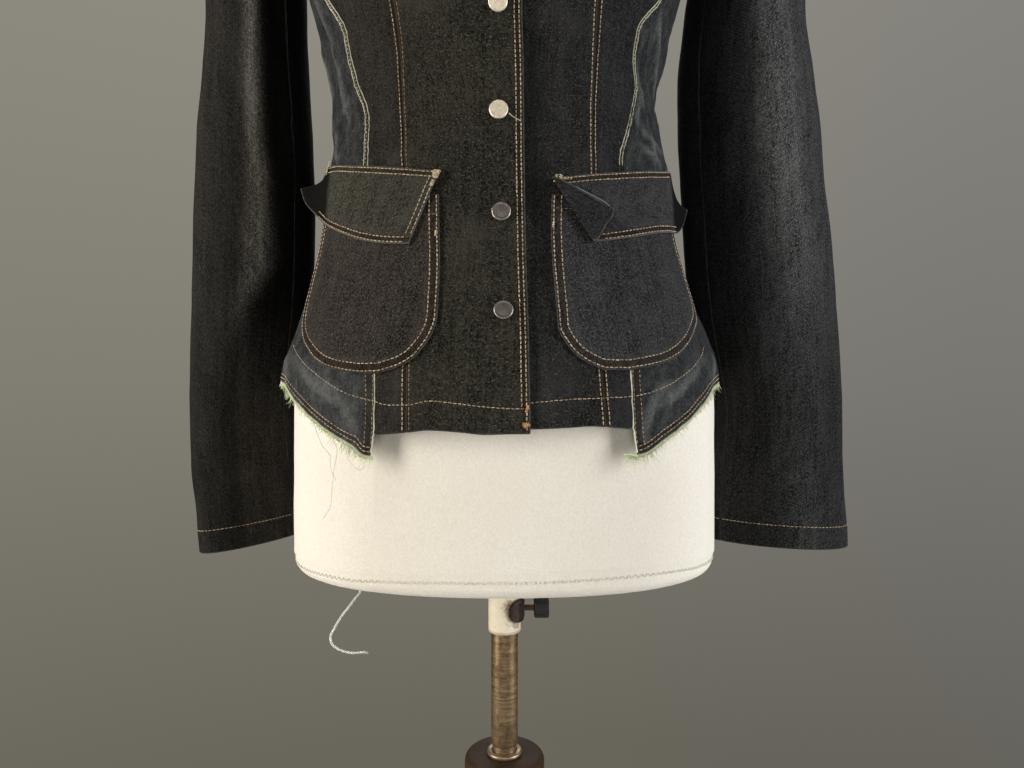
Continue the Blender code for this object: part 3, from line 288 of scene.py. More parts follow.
def vnoise(x, y, seed=0):
    """Smooth value noise, -1 to 1."""
    x, y = np.broadcast_arrays(np.asarray(x, float), np.asarray(y, float))
    xi, yi = np.floor(x).astype(np.int64), np.floor(y).astype(np.int64)
    u, v = x - xi, y - yi
    u, v = u * u * (3 - 2 * u), v * v * (3 - 2 * v)

    def at(a, b):
        n = (a * 374761393 + b * 668265263 + seed * 69069) & 0xFFFFFFFF
        n = ((n ^ (n >> 13)) * 1274126177) & 0xFFFFFFFF
        return ((n ^ (n >> 16)) & 0xFFFF) / 32767.5 - 1.0
    a = at(xi, yi) * (1 - u) + at(xi + 1, yi) * u
    b = at(xi, yi + 1) * (1 - u) + at(xi + 1, yi + 1) * u
    return a * (1 - v) + b * v


def unit(v):
    return v / np.maximum(np.linalg.norm(v, axis=-1, keepdims=True), 1e-9)


def section(body, h):
    return [curve(body["h"], body[k], h) for k in ("xc", "a", "bf", "bb", "n")]


def on_body(body, t, h):
    t, h = np.broadcast_arrays(np.asarray(t, float), np.asarray(h, float))
    xc, a, bf, bb, n = section(body, h)
    s, c = np.sin(np.radians(t)), np.cos(np.radians(t))
    b = np.where(c >= 0, bf, bb)
    x = xc + a * np.sign(s) * np.abs(s) ** (2 / n)
    y = -b * np.sign(c) * np.abs(c) ** (2 / n)
    return np.stack([x, y, h + 0.0], -1)


def normal_at(body, t, h):
    t, h = np.broadcast_arrays(np.asarray(t, float), np.asarray(h, float))
    lo = np.maximum(h - 4.0, body["h"][0])
    hi = np.minimum(h + 4.0, body["h"][-1])
    n = unit(np.cross(on_body(body, t + 1.5, h) - on_body(body, t - 1.5, h),
                      on_body(body, t, hi) - on_body(body, t, lo)))
    p = on_body(body, t, h)
    core = np.stack([section(body, h)[0], np.zeros_like(h), h], -1)
    flip = np.sum(n * (p - core), -1) < 0
    return np.where(flip[..., None], -n, n)


def strokes(tab, t, h, seed=0):
    """Height of the creases of a table at (t, h), and how much of a ridge is there."""
    u, v = np.asarray(t, float) * 2.45, np.asarray(h, float)
    out, ridge = np.zeros(np.broadcast(u, v).shape), np.zeros(np.broadcast(u, v).shape)
    for k in range(len(tab["t0"])):
        u0, v0, u1, v1 = tab["t0"][k] * 2.45, tab["h0"][k], tab["t1"][k] * 2.45, tab["h1"][k]
        dx, dy = u1 - u0, v1 - v0
        ln = math.hypot(dx, dy)
        s = ((u - u0) * dx + (v - v0) * dy) / ln ** 2
        q = ((u - u0) * dy - (v - v0) * dx) / ln
        w = tab["width"][k]
        near = (s > -0.3) & (s < 1.3) & (np.abs(q) < 5 * w + 10)
        if not near.any():
            continue
        q = q - tab["bend"][k] * 4 * s * (1 - s) + w * 0.45 * vnoise(s * 3.1 + k, k * 1.7, seed)
        along = smooth(s, -0.08, 0.35) * (1 - smooth(s, 0.6, 1.08))
        body = np.exp(-(q / (w * (0.75 + 0.4 * along))) ** 2) * along * near
        out = out + tab["depth"][k] * body
        ridge = np.maximum(ridge, body * (1.0 if tab["depth"][k] > 0 else -0.6))
    return out, ridge


def disp(t, h):
    """Folds of the whole jacket, shared by all that lies on it."""
    d, _ = strokes(CREASES, t, h, 3)
    u = np.asarray(t, float) * 2.45
    d = d + 0.55 * vnoise(u / 34.0, np.asarray(h, float) / 46.0, 5)
    d = d + 0.22 * vnoise(u / 13.0, np.asarray(h, float) / 17.0, 6)
    return d


def off_body(t, h, lift):
    """Point of the jacket's surface, moved out by lift, with its folds."""
    return on_body(JACKET, t, h) + (lift + disp(t, h))[..., None] * normal_at(JACKET, t, h)


def angle_of(x, h):
    xc, a, bf, bb, n = section(JACKET, np.asarray(h, float))
    q = np.clip((x - xc) / a, -1, 1)
    return np.degrees(np.arcsin(np.clip(np.sign(q) * np.abs(q) ** (n / 2), -1, 1)))


def inset(t, h, dist):
    step = np.linalg.norm(on_body(JACKET, t + 0.5, h) - on_body(JACKET, t - 0.5, h), axis=-1)
    return t + dist / np.maximum(step, 1e-6)


def armhole(h, side):
    q = (np.asarray(h, float) - ARMHOLE["h"]) / ARMHOLE["rise"]
    s = np.sqrt(np.maximum(0.0, 1.0 - q * q)) ** ARMHOLE["power"]
    return 90.0 - ARMHOLE["front"] * s if side == "front" else 90.0 + ARMHOLE["back"] * s


def arm_bottom(t):
    amp = np.where(t < 90, ARMHOLE["front"], ARMHOLE["back"])
    q = np.minimum(1.0, np.abs(t - 90.0) / amp) ** (1.0 / ARMHOLE["power"])
    return ARMHOLE["h"] - ARMHOLE["rise"] * np.sqrt(1.0 - q * q)


def straight(seam, h):
    h = np.asarray(h, float)
    q = (h - 219) / (238 - 219)
    return np.where((h > 219) & (h < 238), seam(219.0) * (1 - q) + seam(238.0) * q, seam(h))


# seams of one side, as positive angles on that side
class Side:
    def __init__(self, side):
        self.side, self.s = side, (-1.0 if side == "right" else 1.0)

    def of(self, tab, h):
        return self.s * angle_of(curve(tab["h"], tab[self.side], h), h)

    def princess(self, h):
        return straight(lambda z: np.where(np.asarray(z) < 238, self.of(PRINCESS, z),
                                           armhole(z, "front")), h)

    def patch(self, h):
        return straight(lambda z: np.where(np.asarray(z) < 187, self.of(SIDE_SEAM, z),
                                           armhole(z, "front")), h)

    def edge(self, h):
        h = np.asarray(h, float)
        x = np.where(h > 294, self.s * curve(NECK["h"], NECK["x"], h),
                     curve(FRONT_EDGE["h"], FRONT_EDGE[self.side], h))
        return self.s * angle_of(x, h)

    def outer_front(self, h):
        return np.where(np.asarray(h) >= 318, 90.0, self.princess(h))

    def side_back(self, h):
        return straight(lambda z: np.where(np.asarray(z) < 187, curve(
            BACK_SEAMS["h"], BACK_SEAMS["side"], z), armhole(z, "back")), h)

    def back_princess(self, h):
        return straight(lambda z: np.where(np.asarray(z) < 238, curve(
            BACK_SEAMS["h"], BACK_SEAMS["princess"], z), armhole(z, "back")), h)

    def outer_back(self, h):
        return np.where(np.asarray(h) >= 318, 90.0, self.back_princess(h))

    def lap(self, t, h):
        if self.side == "right":
            return np.zeros(np.broadcast(t, h).shape)
        x = on_body(JACKET, t, h)[..., 0]
        return -2.85 * np.clip((40.0 - x) / 18.0, 0, 1)


SIDES = {"right": Side("right"), "left": Side("left")}

# the camera: level, 0.60 m in front of the form's axis
CAM = np.array([6.4, -600.0, -186.0])
FOCAL = 700.0


def pix(px, py):
    """Angle and height of the jacket's point that shows at a pixel of the 1024 frame."""
    d = np.array([(px - 512) / FOCAL, 1.0, (384 - py) / FOCAL])
    last, k = None, 430.0
    while k < 640:
        p = CAM + d * k
        xc, a, bf, bb, n = [float(v) for v in section(JACKET, p[2])]
        f = (abs(p[0] - xc) / a) ** n + (abs(p[1]) / (bf if p[1] < 0 else bb)) ** n - 1
        if last is not None and f <= 0 < last:
            k -= 0.5 * (-f) / (last - f)
            p = CAM + d * k
            q = np.clip((p[0] - xc) / a, -1, 1)
            return float(np.degrees(np.arcsin(np.sign(q) * abs(q) ** (n / 2)))), float(p[2])
        last = f
        k += 0.5
    raise ValueError("no point of the jacket at %s, %s" % (px, py))


def pixels(points, step=1.5):
    """(t, h) along a line of pixels, resampled."""
    pts = np.array([pix(*p) for p in points])
    return resample(pts * [2.45, 1.0], step) / [2.45, 1.0]


def resample(pts, step, close=False):
    pts = np.asarray(pts, float)
    if close:
        pts = np.vstack([pts, pts[:1]])
    d = np.concatenate([[0], np.cumsum(np.linalg.norm(np.diff(pts, axis=0), axis=1))])
    keep = np.concatenate([[True], np.diff(d) > 1e-9])
    pts, d = pts[keep], d[keep]
    n = max(2, int(round(d[-1] / step)) + 1)
    at = np.linspace(0, d[-1], n)
    return curve(d, pts, at) if len(d) > 2 else np.stack(
        [np.interp(at, d, pts[:, k]) for k in range(pts.shape[1])], 1)


def world(p):
    p = np.asarray(p, float).copy()
    p[..., 2] += WAIST
    return p * MM


# ================================================================ meshes
def new_mesh(name, verts, faces, mat, body="torso", smooth_deg=40.0, attrs=None):
    """A mesh piece from points in metres."""
    me = bpy.data.meshes.new(name)
    me.from_pydata(np.asarray(verts, float).tolist(), [], faces)
    for key, val in (attrs or {}).items():
        val = np.asarray(val, np.float32)
        if val.ndim == 1:
            me.attributes.new(key, "FLOAT", "POINT").data.foreach_set("value", val)
        else:
            me.attributes.new(key, "FLOAT_VECTOR", "POINT").data.foreach_set(
                "vector", val.ravel())
    if smooth_deg:
        me.shade_smooth()
        me.set_sharp_from_angle(angle=math.radians(smooth_deg))
    me.materials.append(mat)
    ob = bpy.data.objects.new(name, me)
    bpy.context.scene.collection.objects.link(ob)
    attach(ob, body)
    return ob


def grid_faces(r, c, base=0, flip=False, wrap=False):
    i, j = np.meshgrid(np.arange(r - 1), np.arange(c if wrap else c - 1), indexing="ij")
    j1 = (j + 1) % c
    q = np.stack([i * c + j, i * c + j1, (i + 1) * c + j1, (i + 1) * c + j], -1).reshape(-1, 4)
    if flip:
        q = q[:, ::-1]
    return (q + base).tolist()


def shell(name, top, low, mat, attrs, body="torso", bulge=0.35):
    """A closed thin piece of cloth between an outer and an inner grid of points (mm)."""
    r, c = top.shape[:2]
    ref = (top - low).reshape(-1, 3).mean(0)
    nrm = np.cross(top[1:-1, 2:] - top[1:-1, :-2], top[2:, 1:-1] - top[:-2, 1:-1])
    flip = np.sum(nrm * (top - low)[1:-1, 1:-1]) < 0
    ring = ([(0, j) for j in range(c)] + [(i, c - 1) for i in range(1, r)]
            + [(r - 1, j) for j in range(c - 2, -1, -1)] + [(i, 0) for i in range(r - 2, 0, -1)])
    ring = np.array(ring)
    tp, lw = top[ring[:, 0], ring[:, 1]], low[ring[:, 0], ring[:, 1]]
    inner = np.stack([np.clip(ring[:, 0], 1, r - 2), np.clip(ring[:, 1], 1, c - 2)], 1)
    away = tp - top[inner[:, 0], inner[:, 1]]
    tang = np.roll(tp, -1, 0) - np.roll(tp, 1, 0)
    out = unit(np.cross(tang, tp - lw))
    sign = np.where(np.sum(out * away, 1) < 0, -1.0, 1.0)[:, None]
    thick = np.linalg.norm(tp - lw, axis=1)[:, None]
    mid = (tp + lw) / 2 + out * sign * thick * bulge
    n = r * c
    m = len(ring)
    verts = np.concatenate([top.reshape(-1, 3), low.reshape(-1, 3), mid])
    faces = grid_faces(r, c, 0, flip) + grid_faces(r, c, n, not flip)
    a = ring[:, 0] * c + ring[:, 1]
    b = np.roll(a, -1)
    k = np.arange(m)
    k1 = np.roll(k, -1)
    q1 = np.stack([b, a, 2 * n + k, 2 * n + k1], 1)
    q2 = np.stack([2 * n + k1, 2 * n + k, n + a, n + b], 1)
    quads = np.concatenate([q1, q2])
    if flip:
        quads = quads[:, ::-1]
    faces += quads.tolist()
    full = {}
    for key, val in attrs.items():
        flat = val.reshape(n, -1) if val.ndim == 3 else val.reshape(n)
        full[key] = np.concatenate([flat, flat, flat[a]])
    return new_mesh(name, world(verts), faces, mat, body, 48.0, full)


def tree_of(*grids):
    """A search tree of the outer faces of some grids (mm)."""
    verts, faces = [], []
    for g in grids:
        base = len(verts)
        r, c = g.shape[:2]
        verts += [Vector(p) for p in g.reshape(-1, 3).tolist()]
        faces += grid_faces(r, c, base)
    return BVHTree.FromPolygons(verts, faces)


def drape(tree, pts, nrm, reach=6.0, lift=0.0):
    """Points moved along their normals onto a surface."""
    out, keep = [], []
    for p, n in zip(pts, nrm):
        n = Vector(n)
        hit, hn, _, _ = tree.ray_cast(Vector(p) + n * reach, -n, 2 * reach)
        if hit is None:
            hit, hn, _, d = tree.find_nearest(Vector(p))
            keep.append(d is not None and d < reach)
        else:
            keep.append(True)
        out.append(list(hit + n * lift))
    return np.array(out), np.array(keep)


# ---------------------------------------------------------------- stitches, threads
class Thread:
    """Collects stitches and makes one joined mesh of them."""

    def __init__(self, name, mat, slot):
        self.name, self.mat, self.slot = name, mat, slot
        self.v, self.f, self.tone = [], [], []

    def stitch(self, mid, along, up, length, width, height, tone, sink=0.35):
        side = np.cross(up, along)
        k = np.arange(6) * math.pi / 3
        rings = []
        for x, r, z in ((-0.5, 0.45, -sink), (-0.33, 1, 0), (0.33, 1, 0), (0.5, 0.45, -sink)):
            c, s = np.cos(k) * r * width / 2, np.sin(k) * r * height / 2 + z * height
            rings.append(mid + along * x * length + c[:, None] * side + s[:, None] * up)
        base = 24 * (len(self.v))
        self.v.append(np.concatenate(rings))
        for a in range(3):
            for b in range(6):
                c = (b + 1) % 6
                self.f.append((base + a * 6 + b, base + a * 6 + c, base + a * 6 + 6 + c,
                               base + a * 6 + 6 + b))
        self.f.append(tuple(base + b for b in range(5, -1, -1)))
        self.f.append(tuple(base + 18 + b for b in range(6)))
        self.tone.append(np.full(24, tone))

    def row(self, pts, nrm, pitch=3.3, length=2.55, width=0.78, height=0.62, wander=0.12,
            rise=0.12, skip=0.0):
        """Stitches along a line of points (mm)."""
        d = np.concatenate([[0], np.cumsum(np.linalg.norm(np.diff(pts, axis=0), axis=1))])
        if d[-1] < pitch:
            return
        n = max(1, int(d[-1] / pitch))
        pitch = d[-1] / n
        at = (np.arange(n) + 0.5) * pitch
        mid = np.stack([np.interp(at, d, pts[:, k]) for k in range(3)], 1)
        up = unit(np.stack([np.interp(at, d, nrm[:, k]) for k in range(3)], 1))
        fwd = np.stack([np.interp(at + 0.6, d, pts[:, k]) for k in range(3)], 1)
        bck = np.stack([np.interp(at - 0.6, d, pts[:, k]) for k in range(3)], 1)
        along = fwd - bck
        along = unit(along - np.sum(along * up, 1)[:, None] * up)
        jit = rng.uniform(-1, 1, (n, 3))
        for k in range(n):
            if skip and rng.random() < skip:
                continue
            side = np.cross(up[k], along[k])
            a = unit(along[k] + side * 0.06 * jit[k, 0])
            self.stitch(mid[k] + up[k] * rise + side * wander * jit[k, 1], a, up[k],
                        length * (pitch / 3.3) * (1 + 0.08 * jit[k, 2]), width, height,
                        rng.random())

    def tack(self, mid, along, up, length=7.0, width=2.0, count=14):
        """A bartack: close zigzag stitches."""
        mid, along, up = np.array(mid), unit(np.array(along)), unit(np.array(up))
        along = unit(along - np.dot(along, up) * up)
        side = np.cross(up, along)
        for k in range(count):
            p = mid + along * (k / (count - 1) - 0.5) * length + up * 0.35
            a = unit(side + along * (0.25 if k % 2 else -0.25))
            self.stitch(p, a, up, width * (0.9 + 0.2 * rng.random()), 0.62, 0.62, rng.random(),
                        0.5)

    def build(self, body="torso"):
        ob = new_mesh(self.name, world(np.concatenate(self.v)), self.f, self.mat, body, 60.0,
                      {"tone": np.concatenate(self.tone)})
        return ob


def tubes(name, lines, mat, body="torso", sides=5, tones=None):
    """Thin tubes along lines of (points mm, radius mm), joined, as loose threads."""
    verts, faces, tone = [], [], []
    base = 0
    for q, (pts, rad) in enumerate(lines):
        pts = np.asarray(pts, float)
        n = len(pts)
        rad = np.broadcast_to(np.asarray(rad, float), (n,))
        tan = unit(np.gradient(pts, axis=0))
        ref = np.array([0.31, -0.9, 0.3])
        a = unit(np.cross(tan, ref))
        b = np.cross(tan, a)
        k = np.arange(sides) * 2 * math.pi / sides
        ring = (pts[:, None] + rad[:, None, None] * (np.cos(k)[None, :, None] * a[:, None]
                                                     + np.sin(k)[None, :, None] * b[:, None]))
        verts.append(ring.reshape(-1, 3))
        faces += grid_faces(n, sides, base, False, True)
        faces.append(tuple(base + i for i in range(sides - 1, -1, -1)))
        faces.append(tuple(base + (n - 1) * sides + i for i in range(sides)))
        tone.append(np.full(n * sides, tones[q] if tones is not None else rng.random()))
        base += n * sides
    return new_mesh(name, world(np.concatenate(verts)), faces, mat, body, 70.0,
                    {"tone": np.concatenate(tone)})


# ================================================================ materials
class Shader:
    def __init__(self, name, rough=0.9, metal=0.0, **sockets):
        self.mat = bpy.data.materials.new(name)
        self.mat.use_nodes = True
        self.tree = self.mat.node_tree
        self.bsdf = self.tree.nodes["Principled BSDF"]
        self.bsdf.inputs["Roughness"].default_value = rough
        self.bsdf.inputs["Metallic"].default_value = metal
        for key, val in sockets.items():
            self.bsdf.inputs[key.replace("_", " ")].default_value = val

    def node(self, kind, **props):
        n = self.tree.nodes.new(kind)
        for k, v in props.items():
            setattr(n, k, v)
        return n

    def put(self, sock, val):
        if isinstance(val, bpy.types.NodeSocket):
            self.tree.links.new(val, sock)
        elif isinstance(val, (tuple, list)) and len(val) == 3 and sock.type == "RGBA":
            sock.default_value = (*val, 1.0)
        else:
            sock.default_value = val

    def math(self, op, a, b=0.0, c=0.0, clamp=False):
        n = self.node("ShaderNodeMath", operation=op, use_clamp=clamp)
        for i, v in enumerate((a, b, c)):
            if i < len(n.inputs):
                self.put(n.inputs[i], v)
        return n.outputs[0]

    def add(self, a, b):
        return self.math("ADD", a, b)

    def mul(self, a, b):
        return self.math("MULTIPLY", a, b)

    def mix(self, fac, a, b, blend="MIX"):
        n = self.node("ShaderNodeMix", data_type="RGBA", blend_type=blend)
        n.clamp_factor = True
        self.put(n.inputs[0], fac)
        self.put(n.inputs[6], a)
        self.put(n.inputs[7], b)
        return n.outputs[2]

    def attr(self, name):
        n = self.node("ShaderNodeAttribute", attribute_name=name)
        return n

    def split(self, vec):
        n = self.node("ShaderNodeSeparateXYZ")
        self.put(n.inputs[0], vec)
        return n.outputs

    def join(self, x, y, z=0.0):
        n = self.node("ShaderNodeCombineXYZ")
        for i, v in enumerate((x, y, z)):
            self.put(n.inputs[i], v)
        return n.outputs[0]

    def scale(self, vec, s):
        n = self.node("ShaderNodeVectorMath", operation="MULTIPLY")
        self.put(n.inputs[0], vec)
        n.inputs[1].default_value = s
        return n.outputs[0]

    def noise(self, vec, scale=1.0, detail=2.0, rough=0.5, distort=0.0):
        n = self.node("ShaderNodeTexNoise")
        self.put(n.inputs["Vector"], vec)
        n.inputs["Scale"].default_value = scale
        n.inputs["Detail"].default_value = detail
        n.inputs["Roughness"].default_value = rough
        n.inputs["Distortion"].default_value = distort
        return n.outputs["Fac"]

    def step(self, val, lo, hi):
        n = self.node("ShaderNodeMapRange", interpolation_type="SMOOTHSTEP")
        self.put(n.inputs[0], val)
        n.inputs[1].default_value = lo
        n.inputs[2].default_value = hi
        return n.outputs[0]

    def line(self, val, lo, hi, a=0.0, b=1.0):
        n = self.node("ShaderNodeMapRange")
        self.put(n.inputs[0], val)
        for i, v in enumerate((lo, hi, a, b)):
            n.inputs[i + 1].default_value = v
        return n.outputs[0]

    def bump(self, height, dist, strength=1.0, before=None):
        n = self.node("ShaderNodeBump")
        n.inputs["Strength"].default_value = strength
        n.inputs["Distance"].default_value = dist
        self.put(n.inputs["Height"], height)
        if before is not None:
            self.put(n.inputs["Normal"], before)
        return n.outputs[0]

    def place(self):
        return self.node("ShaderNodeTexCoord").outputs["Object"]

    def finish(self, color, normal=None, rough=None):
        self.put(self.bsdf.inputs["Base Color"], color)
        if normal is not None:
            self.put(self.bsdf.inputs["Normal"], normal)
        if rough is not None:
            self.put(self.bsdf.inputs["Roughness"], rough)
        return self.mat


RUST = (0.0195, 0.0105, 0.0055)


def denim(name, dark, light, bands=(), worn=0.55, washed=False, cream=0.0, hue=(0.5, 0.5, 0.5),
          streaks=0.5, edge_line=0.9, gain=1.15, painted_sleeve_shade=False):
    """Black twill.  Attributes: cloth (u, v, seed in mm), edge (distances in mm to the
    inner edge, outer edge and hem), and the wear-and-shade field (-1 to 1): worn ridges lighter, hollows
    darker, and painted shade darker where a piece is turned from the light."""
    m = Shader(name, 0.95, Sheen_Weight=0.0, Specular_IOR_Level=0.10)
    cloth = m.attr("cloth").outputs["Vector"]
    u, v, w = m.split(cloth)
    # warp yarns, and the pale weft that shows between them as specks along the twill
    yarn = m.noise(m.join(m.mul(u, 1.15), m.mul(v, 0.42), w), 1.0, 2.0, 0.6)
    fleck = m.noise(m.join(m.mul(u, 0.95), m.mul(v, 0.62), m.add(w, 7.3)), 1.0, 1.0, 0.6)
    warp = m.noise(m.join(m.mul(u, 0.55), m.mul(v, 0.035), m.add(w, 21.7)), 1.0, 1.0, 0.5)
    weft = m.noise(m.join(m.mul(u, 0.040), m.mul(v, 0.50), m.add(w, 27.9)), 1.0, 1.0, 0.5)
    cloud = m.noise(m.join(m.mul(u, 0.016), m.mul(v, 0.011), m.add(w, 3.1)), 1.0, 3.0, 0.55)
    mottle = m.noise(m.join(m.mul(u, 0.09), m.mul(v, 0.07), m.add(w, 15.1)), 1.0, 3.0, 0.6)
    streak = m.noise(m.join(m.mul(u, 0.16), m.mul(v, 0.012), m.add(w, 5.7)), 1.0, 2.0, 0.5)
    phase = m.mul(m.add(m.mul(u, 0.88), m.mul(v, 0.47)), 2 * math.pi / 1.15)
    wob = m.mul(m.noise(m.scale(cloth, (0.5, 0.2, 1.0)), 1.0, 1.0), 4.0)
    twill = m.math("SINE", m.add(phase, wob))
    value = m.add(m.line(yarn, 0.36, 0.64, 0.0, 0.42), m.line(fleck, 0.36, 0.64, 0.0, 0.46))
    value = m.add(value, m.mul(twill, 0.05))
    value = m.add(value, m.line(warp, 0.3, 0.7, -0.11, 0.11))
    value = m.add(value, m.line(weft, 0.3, 0.7, -0.06, 0.06))
    value = m.add(value, m.line(cloud, 0.3, 0.7, -0.12, 0.12))
    value = m.add(value, m.line(mottle, 0.3, 0.7, -0.10, 0.10))
    value = m.add(value, m.line(streak, 0.3, 0.7, -0.08 * streaks * 2, 0.08 * streaks * 2))
    value = m.math("MULTIPLY", value, 1.0, clamp=True)
    color = m.mix(value, dark, light)
    # pale slubs of the weft, a few to the square centimetre
    slub = m.noise(m.join(m.mul(u, 0.80), m.mul(v, 0.95), m.add(w, 41.0)), 1.0, 1.0, 0.5)
    color = m.mix(m.mul(m.step(slub, 0.60, 0.70), 0.75), color, tuple(c * 2.1 for c in light))
    # a slow drift of tint
    tint = m.noise(m.join(m.mul(u, 0.010), m.mul(v, 0.008), m.add(w, 11.0)), 1.0, 2.0)
    color = m.mix(m.line(tint, 0.35, 0.65, 0.0, 0.5), color, m.mix(1.0, color, (
        2 * hue[0], 2 * hue[1], 2 * hue[2]), "MULTIPLY"))
    wear_and_shade = m.attr("wear_and_shade").outputs["Fac"]
    if washed:
        pale = m.noise(m.join(m.mul(u, 0.17), m.mul(v, 0.095), w), 1.0, 5.0, 0.68, 1.2)
        fine = m.noise(m.join(m.mul(u, 0.80), m.mul(v, 0.50), m.add(w, 2.0)), 1.0, 3.0, 0.7, 0.4)
        rub = m.math("MULTIPLY", m.step(pale, 0.44, 0.72), m.line(fine, 0.34, 0.66, 0.25, 1.0))
        rub = m.math("ADD", m.mul(rub, 0.42), m.mul(m.math("MAXIMUM", wear_and_shade, 0.0),
                                                   m.line(fine, 0.3, 0.62, 0.2, 0.85)),
                     clamp=True)
        color = m.mix(rub, color, (0.125, 0.128, 0.124))
        hollow = m.math("MULTIPLY", m.math("MINIMUM", wear_and_shade, 0.0), -1.1, clamp=True)
        color = m.mix(hollow, color, (0.0045, 0.005, 0.0065))
    # sleeves: painted highlight and painted shade, the colour multiplied by eight to the power of the field
    elif painted_sleeve_shade:
        shade_factor = m.math("POWER", 8.0, wear_and_shade)
        color = m.mix(1.0, color, m.join(shade_factor, shade_factor, shade_factor), "MULTIPLY")
    else:
        # worn ridges lighter; hollows darker, and painted shade on the flaps' wings and on the left front
        # under the lap
        color = m.mix(m.math("MULTIPLY", m.math("MAXIMUM", wear_and_shade, 0.0), 0.60, clamp=True), color,
                      tuple(c * gain for c in light))
        color = m.mix(m.math("MULTIPLY", m.math("MINIMUM", wear_and_shade, 0.0), -0.97, clamp=True), color,
                      tuple(c * 0.55 for c in dark))
    # bands of rust between rows of stitches, and worn edges
    edge = m.split(m.attr("edge").outputs["Vector"])
    uneven = m.noise(m.join(m.mul(u, 0.22), m.mul(v, 0.22), m.add(w, 9.0)), 1.0, 2.0, 0.6)
    fine = m.noise(m.join(m.mul(u, 0.9), m.mul(v, 0.9), w), 1.0, 1.0)
    for channel, a, b, amount in bands:
        d = m.add(edge[channel], m.line(fine, 0.3, 0.7, -0.25, 0.25))
        mask = m.math("SUBTRACT", m.step(d, a - 0.45, a + 0.25), m.step(d, b - 0.25, b + 0.45))
        mask = m.mul(mask, m.line(uneven, 0.30, 0.66, 0.35 * amount, 0.85 * amount))
        color = m.mix(mask, color, m.mix(value, tuple(c * 0.45 for c in RUST),
                                         tuple(c * 1.9 for c in RUST)))
    for channel in (0, 1, 2):
        d = edge[channel]
        mask = m.mul(m.math("SUBTRACT", 1.0, m.step(d, 0.15, edge_line)),
                     m.line(uneven, 0.3, 0.7, 0.35 * worn, worn))
        if cream and channel == 2:
            color = m.mix(m.mul(m.math("SUBTRACT", 1.0, m.step(d, 1.0, 2.4)), cream), color,
                          (0.52, 0.53, 0.37))
        else:
            color = m.mix(mask, color, (0.105, 0.100, 0.090))
    height = m.add(m.mul(twill, 0.35), m.add(m.mul(yarn, 0.9), m.mul(fleck, 0.6)))
    normal = m.bump(height, 0.00032, 0.75)
    soft = m.noise(m.join(m.mul(u, 0.13), m.mul(v, 0.10), w), 1.0, 2.0)
    normal = m.bump(soft, 0.0012, 0.5, normal)
    return m.finish(color, normal)


def thread_material(name, dark, light, rough=0.6):
    m = Shader(name, rough, Sheen_Weight=0.2, Specular_IOR_Level=0.35)
    tone = m.attr("tone").outputs["Fac"]
    p = m.place()
    n = m.noise(m.scale(p, (1000, 1000, 1000)), 1.1, 2.0, 0.6)
    fac = m.math("ADD", m.mul(tone, 0.75), m.line(n, 0.3, 0.7, -0.2, 0.35), clamp=True)
    color = m.mix(fac, dark, light)
    twist = m.node("ShaderNodeTexWave", wave_type="BANDS", bands_direction="DIAGONAL")
    m.put(twist.inputs["Vector"], m.scale(p, (1000, 1000, 1000)))
    twist.inputs["Scale"].default_value = 0.9
    twist.inputs["Distortion"].default_value = 1.0
    return m.finish(color, m.bump(twist.outputs["Fac"], 0.0002, 0.6))


FRONT_BANDS = {
    "right": [(0, 2.2, 5.0, 0.95), (1, 0.0, 2.3, 0.95)],
    "left": [(1, 0.0, 2.3, 0.95)]}
DARK, LIGHT = (0.0038, 0.0034, 0.0025), (0.045, 0.0415, 0.031)
DARK_C, LIGHT_C = (0.0034, 0.0034, 0.0034), (0.040, 0.0395, 0.038)
MAT = {}
MAT["front_right"] = denim("denim_front_right", DARK, LIGHT, FRONT_BANDS["right"],
                           hue=(0.50, 0.51, 0.44))
MAT["front_left"] = denim("denim_front_left", (0.0032, 0.0031, 0.0030), (0.035, 0.034, 0.032),
                          FRONT_BANDS["left"], hue=(0.48, 0.50, 0.52))
MAT["side_front_right"] = denim("denim_side_front_right", DARK, (0.042, 0.037, 0.032),
                                [(0, 0.0, 2.3, 0.95), (1, 0.0, 2.4, 0.7)], hue=(0.54, 0.49, 0.45))
MAT["side_front_left"] = denim("denim_side_front_left", DARK_C, (0.033, 0.032, 0.031),
                               [(0, 0.0, 2.3, 0.95), (1, 0.0, 2.0, 0.7)], hue=(0.48, 0.50, 0.54))
MAT["back"] = denim("denim_back", DARK, LIGHT, [(0, 0.0, 2.3, 0.9), (1, 0.0, 2.3, 0.9)])
MAT["pocket_right"] = denim("denim_pocket_right", (0.0050, 0.0044, 0.0038),
                            (0.061, 0.053, 0.046),
                            [(0, 1.8, 7.0, 0.75)], hue=(0.53, 0.50, 0.46))
MAT["pocket_left"] = denim("denim_pocket_left", (0.0048, 0.0048, 0.0048),
                           (0.058, 0.057, 0.056),
                           [(0, 1.8, 7.0, 0.75)], hue=(0.48, 0.50, 0.53))
MAT["flap_right"] = denim("denim_flap_right", (0.0058, 0.0054, 0.0043),
                          (0.072, 0.068, 0.053),
                          [(0, 1.3, 4.6, 0.95), (1, 1.2, 5.0, 0.95)], worn=0.9,
                          hue=(0.51, 0.51, 0.46), edge_line=1.3)
MAT["flap_left"] = denim("denim_flap_left", (0.0050, 0.0050, 0.0050),
                         (0.059, 0.058, 0.057),
                         [(0, 1.3, 4.6, 0.95), (1, 1.2, 5.0, 0.95)], worn=0.9, edge_line=1.3)
